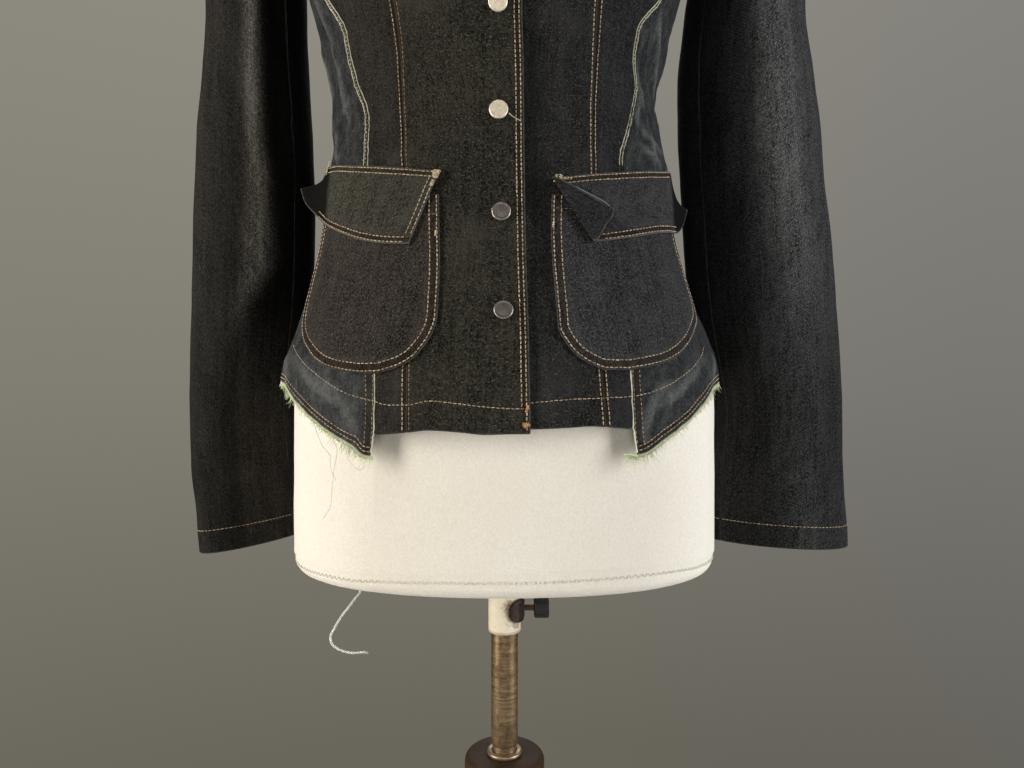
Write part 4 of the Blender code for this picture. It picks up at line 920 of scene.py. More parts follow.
# the two sleeves are copies of one black denim, the wearer's right warmer and darker, the wearer's left greyer
# and lighter: painted warm and cool light of the two sides
MAT["sleeve_right"] = denim("denim_sleeve_right", (0.0050, 0.0046, 0.0040),
                            (0.052, 0.048, 0.042), streaks=0.7, hue=(0.50, 0.49, 0.47), painted_sleeve_shade=True)
MAT["sleeve_left"] = denim("denim_sleeve_left", (0.0090, 0.0090, 0.0088),
                           (0.098, 0.097, 0.095), streaks=0.7, hue=(0.50, 0.50, 0.50), painted_sleeve_shade=True)
MAT["collar"] = denim("denim_collar", DARK, LIGHT, [(0, 2.2, 6.6, 0.8)])
MAT["washed"] = denim("denim_washed", (0.0062, 0.0064, 0.0066), (0.036, 0.037, 0.038),
                      [(0, 0.4, 2.6, 0.8), (2, 4.6, 7.8, 0.8)], washed=True, cream=0.8, hue=(0.50, 0.50, 0.50))
MAT["tan"] = thread_material("thread_tan", (0.25, 0.175, 0.090), (0.66, 0.53, 0.36))
MAT["rust"] = thread_material("thread_rust", (0.085, 0.045, 0.020), (0.34, 0.21, 0.11))
MAT["orange"] = thread_material("thread_orange", (0.34, 0.14, 0.045), (0.78, 0.42, 0.16))
MAT["gold"] = thread_material("thread_gold", (0.33, 0.22, 0.095), (0.86, 0.73, 0.50))
MAT["cream"] = thread_material("thread_cream", (0.40, 0.39, 0.26), (0.80, 0.79, 0.62), 0.85)
MAT["grey"] = thread_material("thread_grey", (0.095, 0.093, 0.088), (0.33, 0.33, 0.31))
MAT["black"] = thread_material("thread_black", (0.008, 0.008, 0.008), (0.030, 0.029, 0.028))
MAT["fringe"] = thread_material("thread_fringe", (0.42, 0.48, 0.22), (0.86, 0.88, 0.62), 0.85)


def jersey_material():
    """Cream cotton jersey stretched over padding."""
    m = Shader("jersey_cover", 0.95, Sheen_Weight=0.25, Sheen_Roughness=0.6,
               Specular_IOR_Level=0.15)
    p = m.place()
    q = m.scale(p, (1000, 1000, 1000))
    x, y, z = m.split(q)
    loops = m.noise(m.join(m.mul(x, 0.75), m.mul(y, 0.75), m.mul(z, 0.55)), 1.0, 2.0, 0.6)
    pill = m.noise(q, 0.16, 3.0, 0.6)
    stain = m.noise(q, 0.010, 3.0, 0.55)
    color = m.mix(m.line(loops, 0.3, 0.7), (0.775, 0.713, 0.608), (0.875, 0.822, 0.722))
    color = m.mix(m.line(stain, 0.40, 0.75, 0.0, 0.35), color, (0.76, 0.675, 0.56))
    color = m.mix(m.line(pill, 0.58, 0.72, 0.0, 0.18), color, (0.66, 0.60, 0.52))
    normal = m.bump(m.add(m.mul(loops, 1.0), m.mul(pill, 1.4)), 0.00035, 0.55)
    return m.finish(color, normal)


def paint_material():
    """Old cream paint, stained with rust about the clamp."""
    m = Shader("socket_paint", 0.42, Coat_Weight=0.15)
    p = m.scale(m.place(), (1000, 1000, 1000))
    x, y, z = m.split(p)
    n = m.noise(p, 0.12, 4.0, 0.6)
    fine = m.noise(p, 0.7, 3.0, 0.6)
    color = m.mix(m.line(n, 0.3, 0.7), (0.86, 0.74, 0.54), (0.93, 0.85, 0.67))
    # distance to the clamp screw on the wall
    dz = m.math("SUBTRACT", z, 668.4)
    dx = m.math("SUBTRACT", x, 9.0)
    dist = m.math("SQRT", m.add(m.mul(dz, dz), m.mul(m.mul(dx, dx), 1.8)))
    rust = m.math("SUBTRACT", 1.0, m.step(m.add(dist, m.line(n, 0.3, 0.7, -5, 5)), 9.0, 15.5))
    color = m.mix(m.mul(rust, m.line(fine, 0.3, 0.65, 0.35, 1.0)), color, (0.16, 0.075, 0.030))
    chip = m.step(m.noise(p, 0.33, 3.0, 0.7), 0.66, 0.70)
    color = m.mix(m.mul(chip, 0.7), color, (0.20, 0.12, 0.06))
    low = m.math("SUBTRACT", 1.0, m.step(m.add(z, m.line(fine, 0.3, 0.7, -1.2, 1.2)), 650.0, 652.4))
    color = m.mix(m.mul(low, 0.6), color, (0.33, 0.25, 0.15))
    rough = m.line(fine, 0.3, 0.7, 0.34, 0.55)
    return m.finish(color, m.bump(m.add(n, m.mul(chip, -0.8)), 0.0004, 0.5), rough)


def steel_material(name="aged_pole", bright=False):
    """Plated steel gone brown, with fine turned rings round it."""
    m = Shader(name, 0.4, 0.85)
    p = m.scale(m.place(), (1000, 1000, 1000))
    x, y, z = m.split(p)
    run = m.noise(m.join(m.mul(x, 0.05), m.mul(y, 0.05), m.mul(z, 0.85)), 1.0, 4.0, 0.7)
    blot = m.noise(p, 0.085, 5.0, 0.68, 0.6)
    spot = m.noise(p, 0.30, 4.0, 0.7)
    color = m.mix(m.line(run, 0.3, 0.7), (0.150, 0.092, 0.044), (0.430, 0.310, 0.175))
    color = m.mix(m.mul(m.step(blot, 0.42, 0.66), 0.75), color, (0.085, 0.050, 0.025))
    color = m.mix(m.mul(m.step(spot, 0.58, 0.70), 0.6), color, (0.400, 0.300, 0.190))
    if bright:
        color = m.mix(0.35, color, (0.42, 0.34, 0.24))
    rough = m.add(m.line(blot, 0.3, 0.7, 0.28, 0.62), m.line(run, 0.3, 0.7, -0.05, 0.08))
    return m.finish(color, m.bump(m.add(run, spot), 0.00015, 0.45), rough)


def wood_material():
    """Dark stained turned wood."""
    m = Shader("dark_wood", 0.6, Specular_IOR_Level=0.12)
    p = m.scale(m.place(), (1000, 1000, 1000))
    x, y, z = m.split(p)
    warp = m.noise(m.join(m.mul(x, 0.012), m.mul(y, 0.012), m.mul(z, 0.003)), 1.0, 2.0)
    ring = m.math("SINE", m.add(m.mul(x, 0.55), m.mul(warp, 30.0)))
    grain = m.noise(m.join(m.mul(x, 0.8), m.mul(y, 0.8), m.mul(z, 0.03)), 1.0, 3.0, 0.6)
    pore = m.step(m.noise(m.join(m.mul(x, 2.2), m.mul(y, 2.2), m.mul(z, 0.08)), 1.0, 1.0), 0.60, 0.68)
    color = m.mix(m.line(grain, 0.3, 0.7), (0.026, 0.0140, 0.0075), (0.068, 0.038, 0.020))
    color = m.mix(m.line(ring, -1, 1, 0.0, 0.35), color, (0.055, 0.033, 0.019))
    color = m.mix(m.mul(pore, 0.7), color, (0.012, 0.008, 0.006))
    wear = m.step(m.noise(p, 0.03, 4.0, 0.6), 0.58, 0.75)
    color = m.mix(m.mul(wear, 0.35), color, (0.08, 0.050, 0.030))
    rough = m.line(grain, 0.3, 0.7, 0.45, 0.65)
    return m.finish(color, m.bump(m.add(grain, m.mul(pore, -0.6)), 0.00025, 0.5), rough)


def iron_material():
    m = Shader("clamp_iron", 0.5, 0.6)
    p = m.scale(m.place(), (1000, 1000, 1000))
    n = m.noise(p, 0.35, 4.0, 0.65)
    color = m.mix(m.step(n, 0.45, 0.65), (0.018, 0.015, 0.014), (0.075, 0.038, 0.020))
    return m.finish(color, m.bump(n, 0.0003, 0.6), m.line(n, 0.3, 0.7, 0.4, 0.7))


def plastic_material():
    m = Shader("knob_plastic", 0.5, Specular_IOR_Level=0.4)
    p = m.scale(m.place(), (1000, 1000, 1000))
    n = m.noise(p, 0.5, 3.0, 0.6)
    dust = m.step(m.noise(p, 0.12, 4.0, 0.7), 0.5, 0.75)
    color = m.mix(m.mul(dust, 0.5), (0.012, 0.012, 0.011), (0.055, 0.052, 0.046))
    return m.finish(color, m.bump(n, 0.0001, 0.4), m.line(n, 0.3, 0.7, 0.42, 0.62))


def button_material(name, warm, tarnish, metal):
    m = Shader(name, 0.36, metal)
    p = m.scale(m.place(), (1000, 1000, 1000))
    n = m.noise(p, 0.55, 4.0, 0.65)
    brush = m.noise(m.scale(p, (3.0, 1.0, 0.35)), 1.0, 3.0, 0.6)
    color = m.mix(m.line(n, 0.3, 0.7), warm, tuple(c * 0.72 for c in warm))
    color = m.mix(m.mul(m.step(n, 0.50, 0.70), tarnish), color, (0.13, 0.105, 0.08))
    rough = m.add(m.line(n, 0.3, 0.7, 0.30, 0.48), m.line(brush, 0.3, 0.7, -0.04, 0.06))
    return m.finish(color, m.bump(m.add(brush, n), 0.00012, 0.5), rough)


def cord_material():
    m = Shader("cotton_cord", 0.9, Sheen_Weight=0.3)
    p = m.scale(m.place(), (1000, 1000, 1000))
    w = m.node("ShaderNodeTexWave", wave_type="BANDS", bands_direction="DIAGONAL")
    m.put(w.inputs["Vector"], p)
    w.inputs["Scale"].default_value = 0.55
    w.inputs["Distortion"].default_value = 1.5
    n = m.noise(p, 1.2, 2.0)
    color = m.mix(m.line(n, 0.3, 0.7), (0.66, 0.64, 0.60), (0.86, 0.85, 0.82))
    return m.finish(color, m.bump(w.outputs["Fac"], 0.0004, 0.7))


MAT["jersey"] = jersey_material()
MAT["paint"] = paint_material()
MAT["pole"] = steel_material()
MAT["ring"] = steel_material("aged_ring", True)
MAT["wood"] = wood_material()
MAT["iron"] = iron_material()
MAT["plastic"] = plastic_material()
MAT["screw"] = steel_material("screw_steel", True)
MAT["button_warm"] = button_material("button_warm", (0.93, 0.81, 0.62), 0.22, 0.30)
MAT["button_dull"] = button_material("button_dull", (0.40, 0.36, 0.31), 0.55, 0.95)
MAT["cord"] = cord_material()

# ================================================================ camera and cord
cam_data = bpy.data.cameras.new("camera")
cam_data.sensor_width = 36.0
cam_data.lens = 36.0 * FOCAL / 1024.0
cam_data.clip_start, cam_data.clip_end = 0.05, 60.0
camera = bpy.data.objects.new("camera", cam_data)
bpy.context.scene.collection.objects.link(camera)
camera.location = world(CAM)
camera.rotation_euler = (math.pi / 2, 0, 0)
bpy.context.scene.camera = camera

cord_pts = np.stack([CORD["x"], CORD["y"], CORD["z"]], 1)
arc = np.concatenate([[0], np.cumsum(np.linalg.norm(np.diff(cord_pts, axis=0), axis=1))])
cord_line = curve(arc, cord_pts, np.linspace(0, arc[-1], 27))


def make_cord():
    cu = bpy.data.curves.new("drawstring_cord", "CURVE")
    cu.dimensions = "3D"
    cu.bevel_depth = 0.8 * MM
    cu.bevel_resolution = 4
    cu.use_fill_caps = True
    sp = cu.splines.new("POLY")
    sp.points.add(len(cord_line) - 1)
    for p, q in zip(sp.points, cord_line * MM):
        p.co = (*q, 1.0)
    cu.materials.append(MAT["cord"])
    ob = bpy.data.objects.new("drawstring_cord", cu)
    bpy.context.scene.collection.objects.link(ob)
    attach(ob, "torso")
    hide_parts("drawstring")
    # the frayed free end
    end, way = cord_line[-1], unit(cord_line[-1] - cord_line[-2])
    lines = []
    for k in range(16):
        a = rng.uniform(-1, 1, 3)
        start = end + np.cross(way, a) * 0.45 - way * 0.8
        ln = rng.uniform(1.5, 4.0)
        pts = [start + way * ln * q + a * 1.3 * q * q + np.array([0, 0, -0.6 * q * q])
               for q in np.linspace(0, 1, 5)]
        pts = np.array(pts)
        pts[:, 2] -= WAIST
        lines.append((pts, np.linspace(0.16, 0.07, 5)))
    fray = tubes("drawstring_fray", lines, MAT["cord"], sides=4)


make_cord()

# ================================================================ jacket body
NEAR = np.array([0.0, 0.3, 0.75, 1.5, 2.8, 5.0])     # columns near a seam, mm from it
SURF = {}                                            # outer grids, for what is sewn on
FLAT = {}                                            # cut sizes of the pieces, mm


def fill(name, flat_extra=0.0):
    """Records the size of a piece: width, height and area of its own outer surface, in mm."""
    g = SURF[name]
    w = np.linalg.norm(np.diff(g, axis=1), axis=-1).sum(1).max()
    h = np.linalg.norm(np.diff(g, axis=0), axis=-1).sum(0).max()
    a = np.linalg.norm(np.cross(g[1:, :-1] - g[:-1, :-1], g[:-1, 1:] - g[:-1, :-1]), axis=-1).sum()
    FLAT[name] = (round(w, 1), round(h, 1), round(a))


def panel(name, side, inner, outer, top, base, mat, lift=None, crown=None,
          seams=(True, True), step=3.4, crumple=False, hem_fold=True):
    """One body panel between two seams: a thin shell with its creases and puckers."""
    sd = SIDES[side]
    s = sd.s
    first = inner
    gap = SEAM / 2 - 0.20
    low = np.array([0.0, 0.35, 0.9, 1.8, 3.4])
    low = np.concatenate([low, np.linspace(6.5, 68, 17)])        # mm above the hem, at most
    hs = np.arange(-151 + step, top - step * 0.4, step)
    hs = np.concatenate([[-151.0], hs, [top]])
    n_low = len(low)

    def spread(h):
        a, b = first(h), outer(h)
        if seams[0]:
            a = inset(a, h, gap)
        if seams[1]:
            b = inset(b, h, -gap)
        mid = (a + b) / 2
        per = np.linalg.norm(on_body(JACKET, mid + 0.5, h) - on_body(JACKET, mid - 0.5, h), axis=-1)
        width = (b - a) * per
        k = np.minimum(1.0, width / 16.0)
        ka = np.linalg.norm(on_body(JACKET, a + 0.5, h) - on_body(JACKET, a - 0.5, h), axis=-1)
        kb = np.linalg.norm(on_body(JACKET, b + 0.5, h) - on_body(JACKET, b - 0.5, h), axis=-1)
        return a, b, k / np.maximum(ka, 1e-3), k / np.maximum(kb, 1e-3)

    wide = float(np.max((outer(hs) - first(hs)) * 2.6))
    mids = int(max(4, round(wide / step)))
    cols = 2 * len(NEAR) + mids
    hh = np.zeros((n_low + len(hs), cols))
    hh[n_low:] = hs[:, None]
    hh[:n_low] = np.linspace(-218, -152, n_low)[:, None]
    tt = None
    for _ in range(4):
        a, b, ka, kb = spread(hh)
        tt = np.empty_like(hh)
        m = len(NEAR)
        for j in range(m):
            tt[:, j] = a[:, j] + NEAR[j] * ka[:, j]
            tt[:, cols - 1 - j] = b[:, cols - 1 - j] - NEAR[j] * kb[:, cols - 1 - j]
        for j in range(mids):
            q = (j + 1) / (mids + 1)
            lo, hi = a[:, m + j] + NEAR[-1] * ka[:, m + j], b[:, m + j] - NEAR[-1] * kb[:, m + j]
            tt[:, m + j] = lo + (hi - lo) * q
        bottom = base(tt[:n_low])
        near = low[:5]
        for i in range(n_low):
            if i < 5:
                hh[i] = bottom[i] + near[i]
            else:
                q = (i - 4) / (n_low - 4)
                hh[i] = bottom[i] + 3.4 + (-151.0 - bottom[i] - 3.4) * q
        if crown is not None:
            q = smooth(hs, top - 16, top)
            hh[n_low:] = hs[:, None] + (crown(tt[n_low:]) - hs[:, None]) * q[:, None]
    t = s * tt
    nrm = normal_at(JACKET, t, hh)
    up = (lift(t, hh) if lift is not None else 0.0) + disp(t, hh)
    p0 = on_body(JACKET, t, hh) + up[..., None] * nrm
    across = np.concatenate([np.zeros((hh.shape[0], 1)), np.cumsum(
        np.linalg.norm(np.diff(p0, axis=1), axis=-1), 1)], 1)
    d_in, d_out = across, across[:, -1:] - across
    upward = np.concatenate([np.zeros((1, cols)), np.cumsum(
        np.linalg.norm(np.diff(p0, axis=0), axis=-1), 0)], 0)
    d_low = upward
    z = np.zeros_like(hh)
    for k, (d, seam) in enumerate(((d_in, seams[0]), (d_out, seams[1]))):
        if seam:
            z += -0.55 * np.exp(-(d / 0.40)) + 0.26 * smooth(d, 0.9, 1.8) * (1 - smooth(d, 6, 8.5))
        else:
            z += -0.55 * np.exp(-(d / 0.35)) + 0.30 * (1 - smooth(d, 11, 14))
        wave = np.sin(2 * math.pi * (hh / 10.5 + 0.9 * vnoise(hh / 17.0, k + 0.5, 21)))
        z += 0.16 * wave * np.exp(-(d / 6.5) ** 2) * smooth(d, 0.2, 1.2)
    if hem_fold:
        z += 0.32 * (1 - smooth(d_low, 15.5, 18.5)) - 0.5 * np.exp(-(d_low / 0.4))
        wave = np.sin(2 * math.pi * (across / 11.0 + 0.8 * vnoise(across / 16.0, 2.5, 22)))
        z += 0.30 * wave * np.exp(-((d_low - 14) / 7.0) ** 2)
    wear_and_shade = 0.55 * np.clip(strokes(CREASES, t, hh, 3)[1], -1, 1)
    if crumple:
        c, ridge = strokes(CRUMPLES, t, hh, 9)
        z += 1.25 * c * smooth(d_in, 2, 8) * smooth(d_out, 1, 5)
        z += 0.35 * vnoise(t * 2.45 / 5.5, hh / 6.5, 12) * smooth(d_in, 2, 8)
        pale = 0.18 if side == "right" else 0.0
        wear_and_shade = np.clip(ridge + 0.25 * vnoise(t * 2.45 / 5.0, hh / 8.0, 12)
                       + pale * smooth(-hh, 148, 165), -1, 1)
    # painted shadow of the right front's lap on the left front, next to its edge
    if name == "front_left":
        wear_and_shade = wear_and_shade - 0.40 * (1 - smooth(d_in, 44, 66)) * smooth(hh, -150, -90)
    outer_face = p0 + (CLOTH / 2 + z)[..., None] * nrm
    inner_face = p0 + (CLOTH / 2 - THIN + 1.25 * np.minimum(c, 0.0) if crumple else
                       np.full_like(hh, CLOTH / 2 - THIN))[..., None] * nrm
    SURF[name] = outer_face
    seed = (sum(ord(ch) for ch in name) % 97) * 3.7
    inner = np.where(hh < -130, d_in * 0.42, d_in) if crumple else d_in
    edge = np.stack([inner, d_out, d_low], -1)
    cloth = np.stack([t * 2.45, hh, np.full_like(hh, seed)], -1)
    ob = shell("cloth_" + name, outer_face, inner_face, mat,
               {"cloth": cloth, "edge": edge, "wear_and_shade": wear_and_shade})
    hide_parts(name)
    return ob


for side in ("right", "left"):
    sd = SIDES[side]
    s = sd.s
    hem_t = HEM[side]
    panel(
        "front_" + side, side, sd.edge, sd.outer_front, 366.0,
        lambda t, s=s, hem_t=hem_t: curve(hem_t["t"], hem_t["h"], s * t),
        MAT["front_" + side], lift=sd.lap, seams=(False, True))
    panel(
        "side_front_" + side, side, sd.princess, sd.patch, 235.0,
        lambda t, s=s, hem_t=hem_t: curve(hem_t["t"], hem_t["h"], s * t),
        MAT["side_front_" + side])
    tail = TAIL[side]
    panel(
        "side_panel_" + side, side, sd.patch,
        lambda h: curve(BACK_SEAMS["h"], BACK_SEAMS["side"], h), 187.0,
        lambda t, tail=tail: curve(tail["t"], tail["h"], t) + 0.5 * vnoise(t * 2.4, 1.5, 31),
        MAT["washed"], crown=arm_bottom, crumple=True, hem_fold=False)
    panel(
        "side_back_" + side, side, sd.side_back, sd.back_princess, 235.0,
        lambda t: curve(HEM["back"]["t"], HEM["back"]["h"], t), MAT["back"], step=5.0)
    panel(
        "back_" + side, side, sd.outer_back, lambda h: np.full(np.shape(h), 180.0), 366.0,
        lambda t: curve(HEM["back"]["t"], HEM["back"]["h"], t), MAT["back"], step=5.0)


# ---------------------------------------------------------------- pockets and flaps
def refine(grid, rows, cols, row_at=None, col_at=None):
    """A denser grid through the points of a coarse one."""
    grid = np.asarray(grid, float)
    r, c = grid.shape[:2]
    u = np.linspace(0, c - 1, cols) if col_at is None else col_at
    v = np.linspace(0, r - 1, rows) if row_at is None else row_at
    g = curve(np.arange(r), grid, v)
    return np.swapaxes(curve(np.arange(c), np.swapaxes(g, 0, 1), u), 0, 1)


def thick_normals(g):
    n = unit(np.cross(np.gradient(g, axis=1), np.gradient(g, axis=0)))
    out = g - np.array([0, 0, 0.0])
    core = np.stack([np.zeros(g.shape[:2]), np.zeros(g.shape[:2]), g[..., 2]], -1)
    if np.sum(n * (out - core)) < 0:
        n = -n
    return n


def dist_to(g, line):
    """Distance of every grid point to a line of points."""
    line = resample(line, 0.8)
    flat = g.reshape(-1, 3)
    out = np.empty(len(flat))
    for k in range(0, len(flat), 2000):
        out[k:k + 2000] = np.sqrt(((flat[k:k + 2000, None] - line[None]) ** 2).sum(-1)).min(1)
    return out.reshape(g.shape[:2])


def clustered(n, total, near=(0.0, 0.012, 0.03, 0.06)):
    """Positions from 0 to total, closer near both ends."""
    q = np.concatenate([near, np.linspace(near[-1], 1 - near[-1], n)[1:-1], 1 - np.array(near)[::-1]])
    return q * total


for side in ("right", "left"):
    s = SIDES[side].s
    tab = POCKET[side]
    k = clustered(44, len(tab["h"]) - 1.0)
    q = clustered(40, 1.0)
    hh = curve(np.arange(len(tab["h"])), tab["h"], k)
    t0 = curve(np.arange(len(tab["h"])), tab["inner"], k)
    t1 = curve(np.arange(len(tab["h"])), tab["outer"], k)
    tt = t0[:, None] + (t1 - t0)[:, None] * q[None]
    hh = np.broadcast_to(hh[:, None], tt.shape)
    nrm = normal_at(JACKET, s * tt, hh)
    base = off_body(s * tt, hh, CLOTH + LAY)
    line = np.concatenate([base[:, 0], base[-1, 1:-1], base[::-1, -1]])
    de = dist_to(base, line)
    d_top = np.concatenate([np.zeros((1, tt.shape[1])), np.cumsum(
        np.linalg.norm(np.diff(base, axis=0), axis=-1), 0)], 0)
    seed = 5.0 if side == "right" else 9.0
    z = -0.75 * np.exp(-(de / 0.5)) + 0.22 * np.exp(-((de - 4.4) / 1.6) ** 2)
    z += 0.55 * smooth(de, 7, 26) + 0.25 * vnoise(s * tt * 2.45 / 24, hh / 30, 40) * smooth(de, 5, 12)
    z += 0.16 * np.sin(2 * math.pi * (hh / 9.5 + s * tt * 2.45 / 9.0 + vnoise(hh / 15.0, tt / 6, 41))
                       ) * np.exp(-((de - 4.5) / 4.0) ** 2)
    top = base + (CLOTH / 2 + z)[..., None] * nrm
    low = base + (CLOTH / 2 - THIN) * nrm
    SURF["pocket_" + side] = top
    cloth = np.stack([s * tt * 2.45 + 31.0, hh + 17.0, np.full_like(tt, seed)], -1)
    edge = np.stack([de, np.full_like(de, 99.0), d_top], -1)
    wear_and_shade = 0.35 * np.exp(-((de - 8.5) / 2.5) ** 2)
    ob = shell("cloth_pocket_" + side, top, low, MAT["pocket_" + side],
               {"cloth": cloth, "edge": edge, "wear_and_shade": wear_and_shade})
    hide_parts("pocket_" + side)

for side in ("right", "left"):
    s = SIDES[side].s
    tab = FLAP[side]
    cols = len(tab["t0"])
    downs = np.array([0.0, 0.05, 0.1, 0.2, 0.3, 0.4, 0.5, 0.61, 0.7, 0.8, 0.9, 1.0])
    grid = []
    for v in downs:
        bow = np.zeros(cols)
        bow[-2:] = (0.25, 0.95)                      # the wing's upper edge is hollow
        late, early = v - bow * v * (1 - v), v + bow * v * (1 - v)
        t = tab["t0"] + (tab["t1"] - tab["t0"]) * late
        h = tab["h0"] + (tab["h1"] - tab["h0"]) * early
        ease = np.where(tab["lift1"] < 7, smooth(v, -0.12, 0.36), late)
        f = tab["lift0"] + (tab["lift1"] - tab["lift0"]) * ease
        pts = off_body(s * t, h, f)
        if side == "left" and v > 0.07:
            reach = float(curve(FOLDED["v"], FOLDED["reach"], v))
            t, h, f = t[0], h[0], f[0]
            fold = [(t + reach, h + reach / 3, f + 3.3), (t + reach * 0.5, h + reach / 6, f + 2.9),
                    (t, h, f + 2.7), (t - 0.55, h, f + 1.35)]
            pts = np.vstack([off_body(s * a, b, np.array(c)) for a, b, c in fold] + [pts])
        elif side == "left":
            continue
        grid.append(pts)
    grid = np.array(grid)
    r, c = grid.shape[:2]
    g = refine(grid, 0, 0, clustered(46, r - 1.0), clustered(64 if side == "right" else 84, c - 1.0))
    if side == "left":
        FLAP_FOLD["columns"] = int(np.argmin(np.abs(clustered(84, c - 1.0) - 4.0)))
    nrm = thick_normals(g)
    d_all = dist_to(g, np.concatenate([g[:, 0], g[-1, 1:-1], g[::-1, -1]]))
    d_top = dist_to(g, g[0])
    z = 0.18 * np.exp(-((d_all - 4.2) / 1.6) ** 2) - 0.35 * np.exp(-(d_all / 0.45))
    z += 0.15 * np.sin(2 * math.pi * (np.arange(g.shape[1])[None] / 5.3 + 0.7 * vnoise(
        np.arange(g.shape[1])[None] / 9.0, 0.5, 51))) * np.exp(-((d_all - 5) / 4.0) ** 2)
    z += 0.28 * vnoise(np.arange(g.shape[1])[None] / 11.0, np.arange(g.shape[0])[:, None] / 9.0, 52
                       ) * smooth(d_all, 3, 9)
    top = g + (0.75 + z)[..., None] * nrm
    low = g - 0.35 * nrm
    SURF["flap_" + side] = top
    SURF["flap_mid_" + side] = g
    u_mm = np.cumsum(np.concatenate([np.zeros((g.shape[0], 1)), np.linalg.norm(
        np.diff(g, axis=1), axis=-1)], 1), 1)
    cloth = np.stack([u_mm, g[..., 2] * 1.0, np.full(g.shape[:2], 13.0 if s < 0 else 21.0)], -1)
    # the double row of the bottom, the rows of the top, and the plain wing behind the hip, painted dark as
    # shade
    d_low = dist_to(g, g[-1, FLAP_FOLD["columns"] if side == "left" else 0:])
    wing = smooth(s * g[..., 0], *((133.0, 138.5) if side == "right" else (130.0, 135.0)))
    edge = np.stack([np.where(wing > 0.5, 99.0, d_low), np.where(wing > 0.3, 99.0, d_top), d_all], -1)
    wear_and_shade = 0.3 * np.exp(-((d_all - 8.5) / 2.5) ** 2) * (1 - wing) - 1.0 * wing
    if side == "left":
        folded = np.arange(g.shape[1])[None] < FLAP_FOLD["columns"]
        edge[..., 0] = np.where(folded, 99.0, edge[..., 0])
        # painted shade on the turned-back corner
        wear_and_shade = np.where(folded, -0.35, wear_and_shade)
    ob = shell("cloth_flap_" + side, top, low, MAT["flap_" + side],
               {"cloth": cloth, "edge": edge, "wear_and_shade": wear_and_shade})
    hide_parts("flap_" + side)


# ---------------------------------------------------------------- sleeves
SLEEVE_FOLDS = {
    # around (degrees from the inner line, front positive), h0, h1, width mm, depth mm
    "right": table("a0 h0 a1 h1 width depth", [
        (67, 185, 65, 0, 9, 2.9), (65, 30, 55, -110, 9, 2.9), (50, 165, 47, -20, 9, -2.0),
        (66, -80, 90, -150, 10, 1.8), (104, 150, 100, -60, 14, -0.7), (126, 170, 130, -40, 16, -0.6),
        (100, -60, 106, -300, 14, 1.6), (76, -120, 70, -310, 12, -1.2), (140, 60, 146, -220, 16, 0.6),
        (40, 110, 36, -20, 10, 1.5), (30, 40, 60, 20, 7, -1.6), (34, 10, 70, -14, 7, 1.4),
        (30, -30, 66, -50, 8, -1.2), (200, 100, 206, -160, 16, 0.9), (240, 120, 236, -100, 14, -1.8),
        (270, 60, 262, -240, 14, 1.8), (300, 20, 280, 2, 8, -1.8), (310, -10, 276, -34, 8, 1.6),
        (320, 140, 312, 0, 11, 1.4), (160, 230, 150, 120, 16, 0.9), (200, 240, 210, 130, 15, -1.5),
        (60, -262, 120, -270, 7, 0.7), (30, -238, 90, -250, 7, -0.7), (180, -250, 250, -262, 8, 0.9),
        (110, 220, 96, 150, 12, 2.0), (84, 236, 74, 160, 10, -1.6)]),
    "left": table("a0 h0 a1 h1 width depth", [
        (58, 190, 60, -80, 12, 1.9), (84, 170, 88, -100, 13, -2.1), (112, 160, 116, -200, 16, 2.1),
        (140, 120, 144, -60, 15, -1.3), (66, -80, 76, -300, 12, 1.3), (98, -110, 96, -310, 13, -1.3),
        (30, 40, 62, 22, 7, -1.4), (34, 6, 66, -12, 7, 1.4), (32, -34, 64, -52, 8, -1.1),
        (200, 100, 206, -160, 16, 0.9), (240, 120, 236, -100, 14, -1.8), (270, 60, 262, -240, 14, 1.7),
        (304, 24, 284, 6, 8, -1.8), (310, -12, 280, -32, 8, 1.5), (320, 140, 312, 0, 11, 1.3),
        (160, 230, 150, 120, 16, 0.9), (200, 240, 210, 130, 15, -1.5),
        (120, -262, 70, -268, 7, 0.7), (60, -240, 100, -252, 7, -0.6), (180, -252, 250, -262, 8, 0.9),
        (108, 224, 98, 150, 12, 1.9), (84, 236, 76, 160, 10, -1.6)])}


def sleeve_disp(side, ang, h):
    tab = SLEEVE_FOLDS[side]
    out, ridge = np.zeros(ang.shape), np.zeros(ang.shape)
    for k in range(len(tab["a0"])):
        u0, v0, u1, v1 = tab["a0"][k] * 0.80, tab["h0"][k], tab["a1"][k] * 0.80, tab["h1"][k]
        dx, dy = u1 - u0, v1 - v0
        ln = math.hypot(dx, dy)
        for turn in (-360, 0, 360):
            u = (ang + turn) * 0.80
            s_ = ((u - u0) * dx + (h - v0) * dy) / ln ** 2
            q = ((u - u0) * dy - (h - v0) * dx) / ln
            w = tab["width"][k]
            q = q + w * 0.4 * vnoise(s_ * 2.6 + k, k * 2.3, 61)
            along = smooth(s_, -0.05, 0.3) * (1 - smooth(s_, 0.65, 1.05))
            b = np.exp(-(q / (w * (0.7 + 0.5 * along))) ** 2) * along
            out += tab["depth"][k] * b
            ridge = np.maximum(ridge, b * (1 if tab["depth"][k] > 0 else -0.5))
    out += 0.5 * vnoise(ang / 30.0, h / 40.0, 62) + 0.18 * vnoise(ang / 11.0, h / 13.0, 63)
    return out, ridge


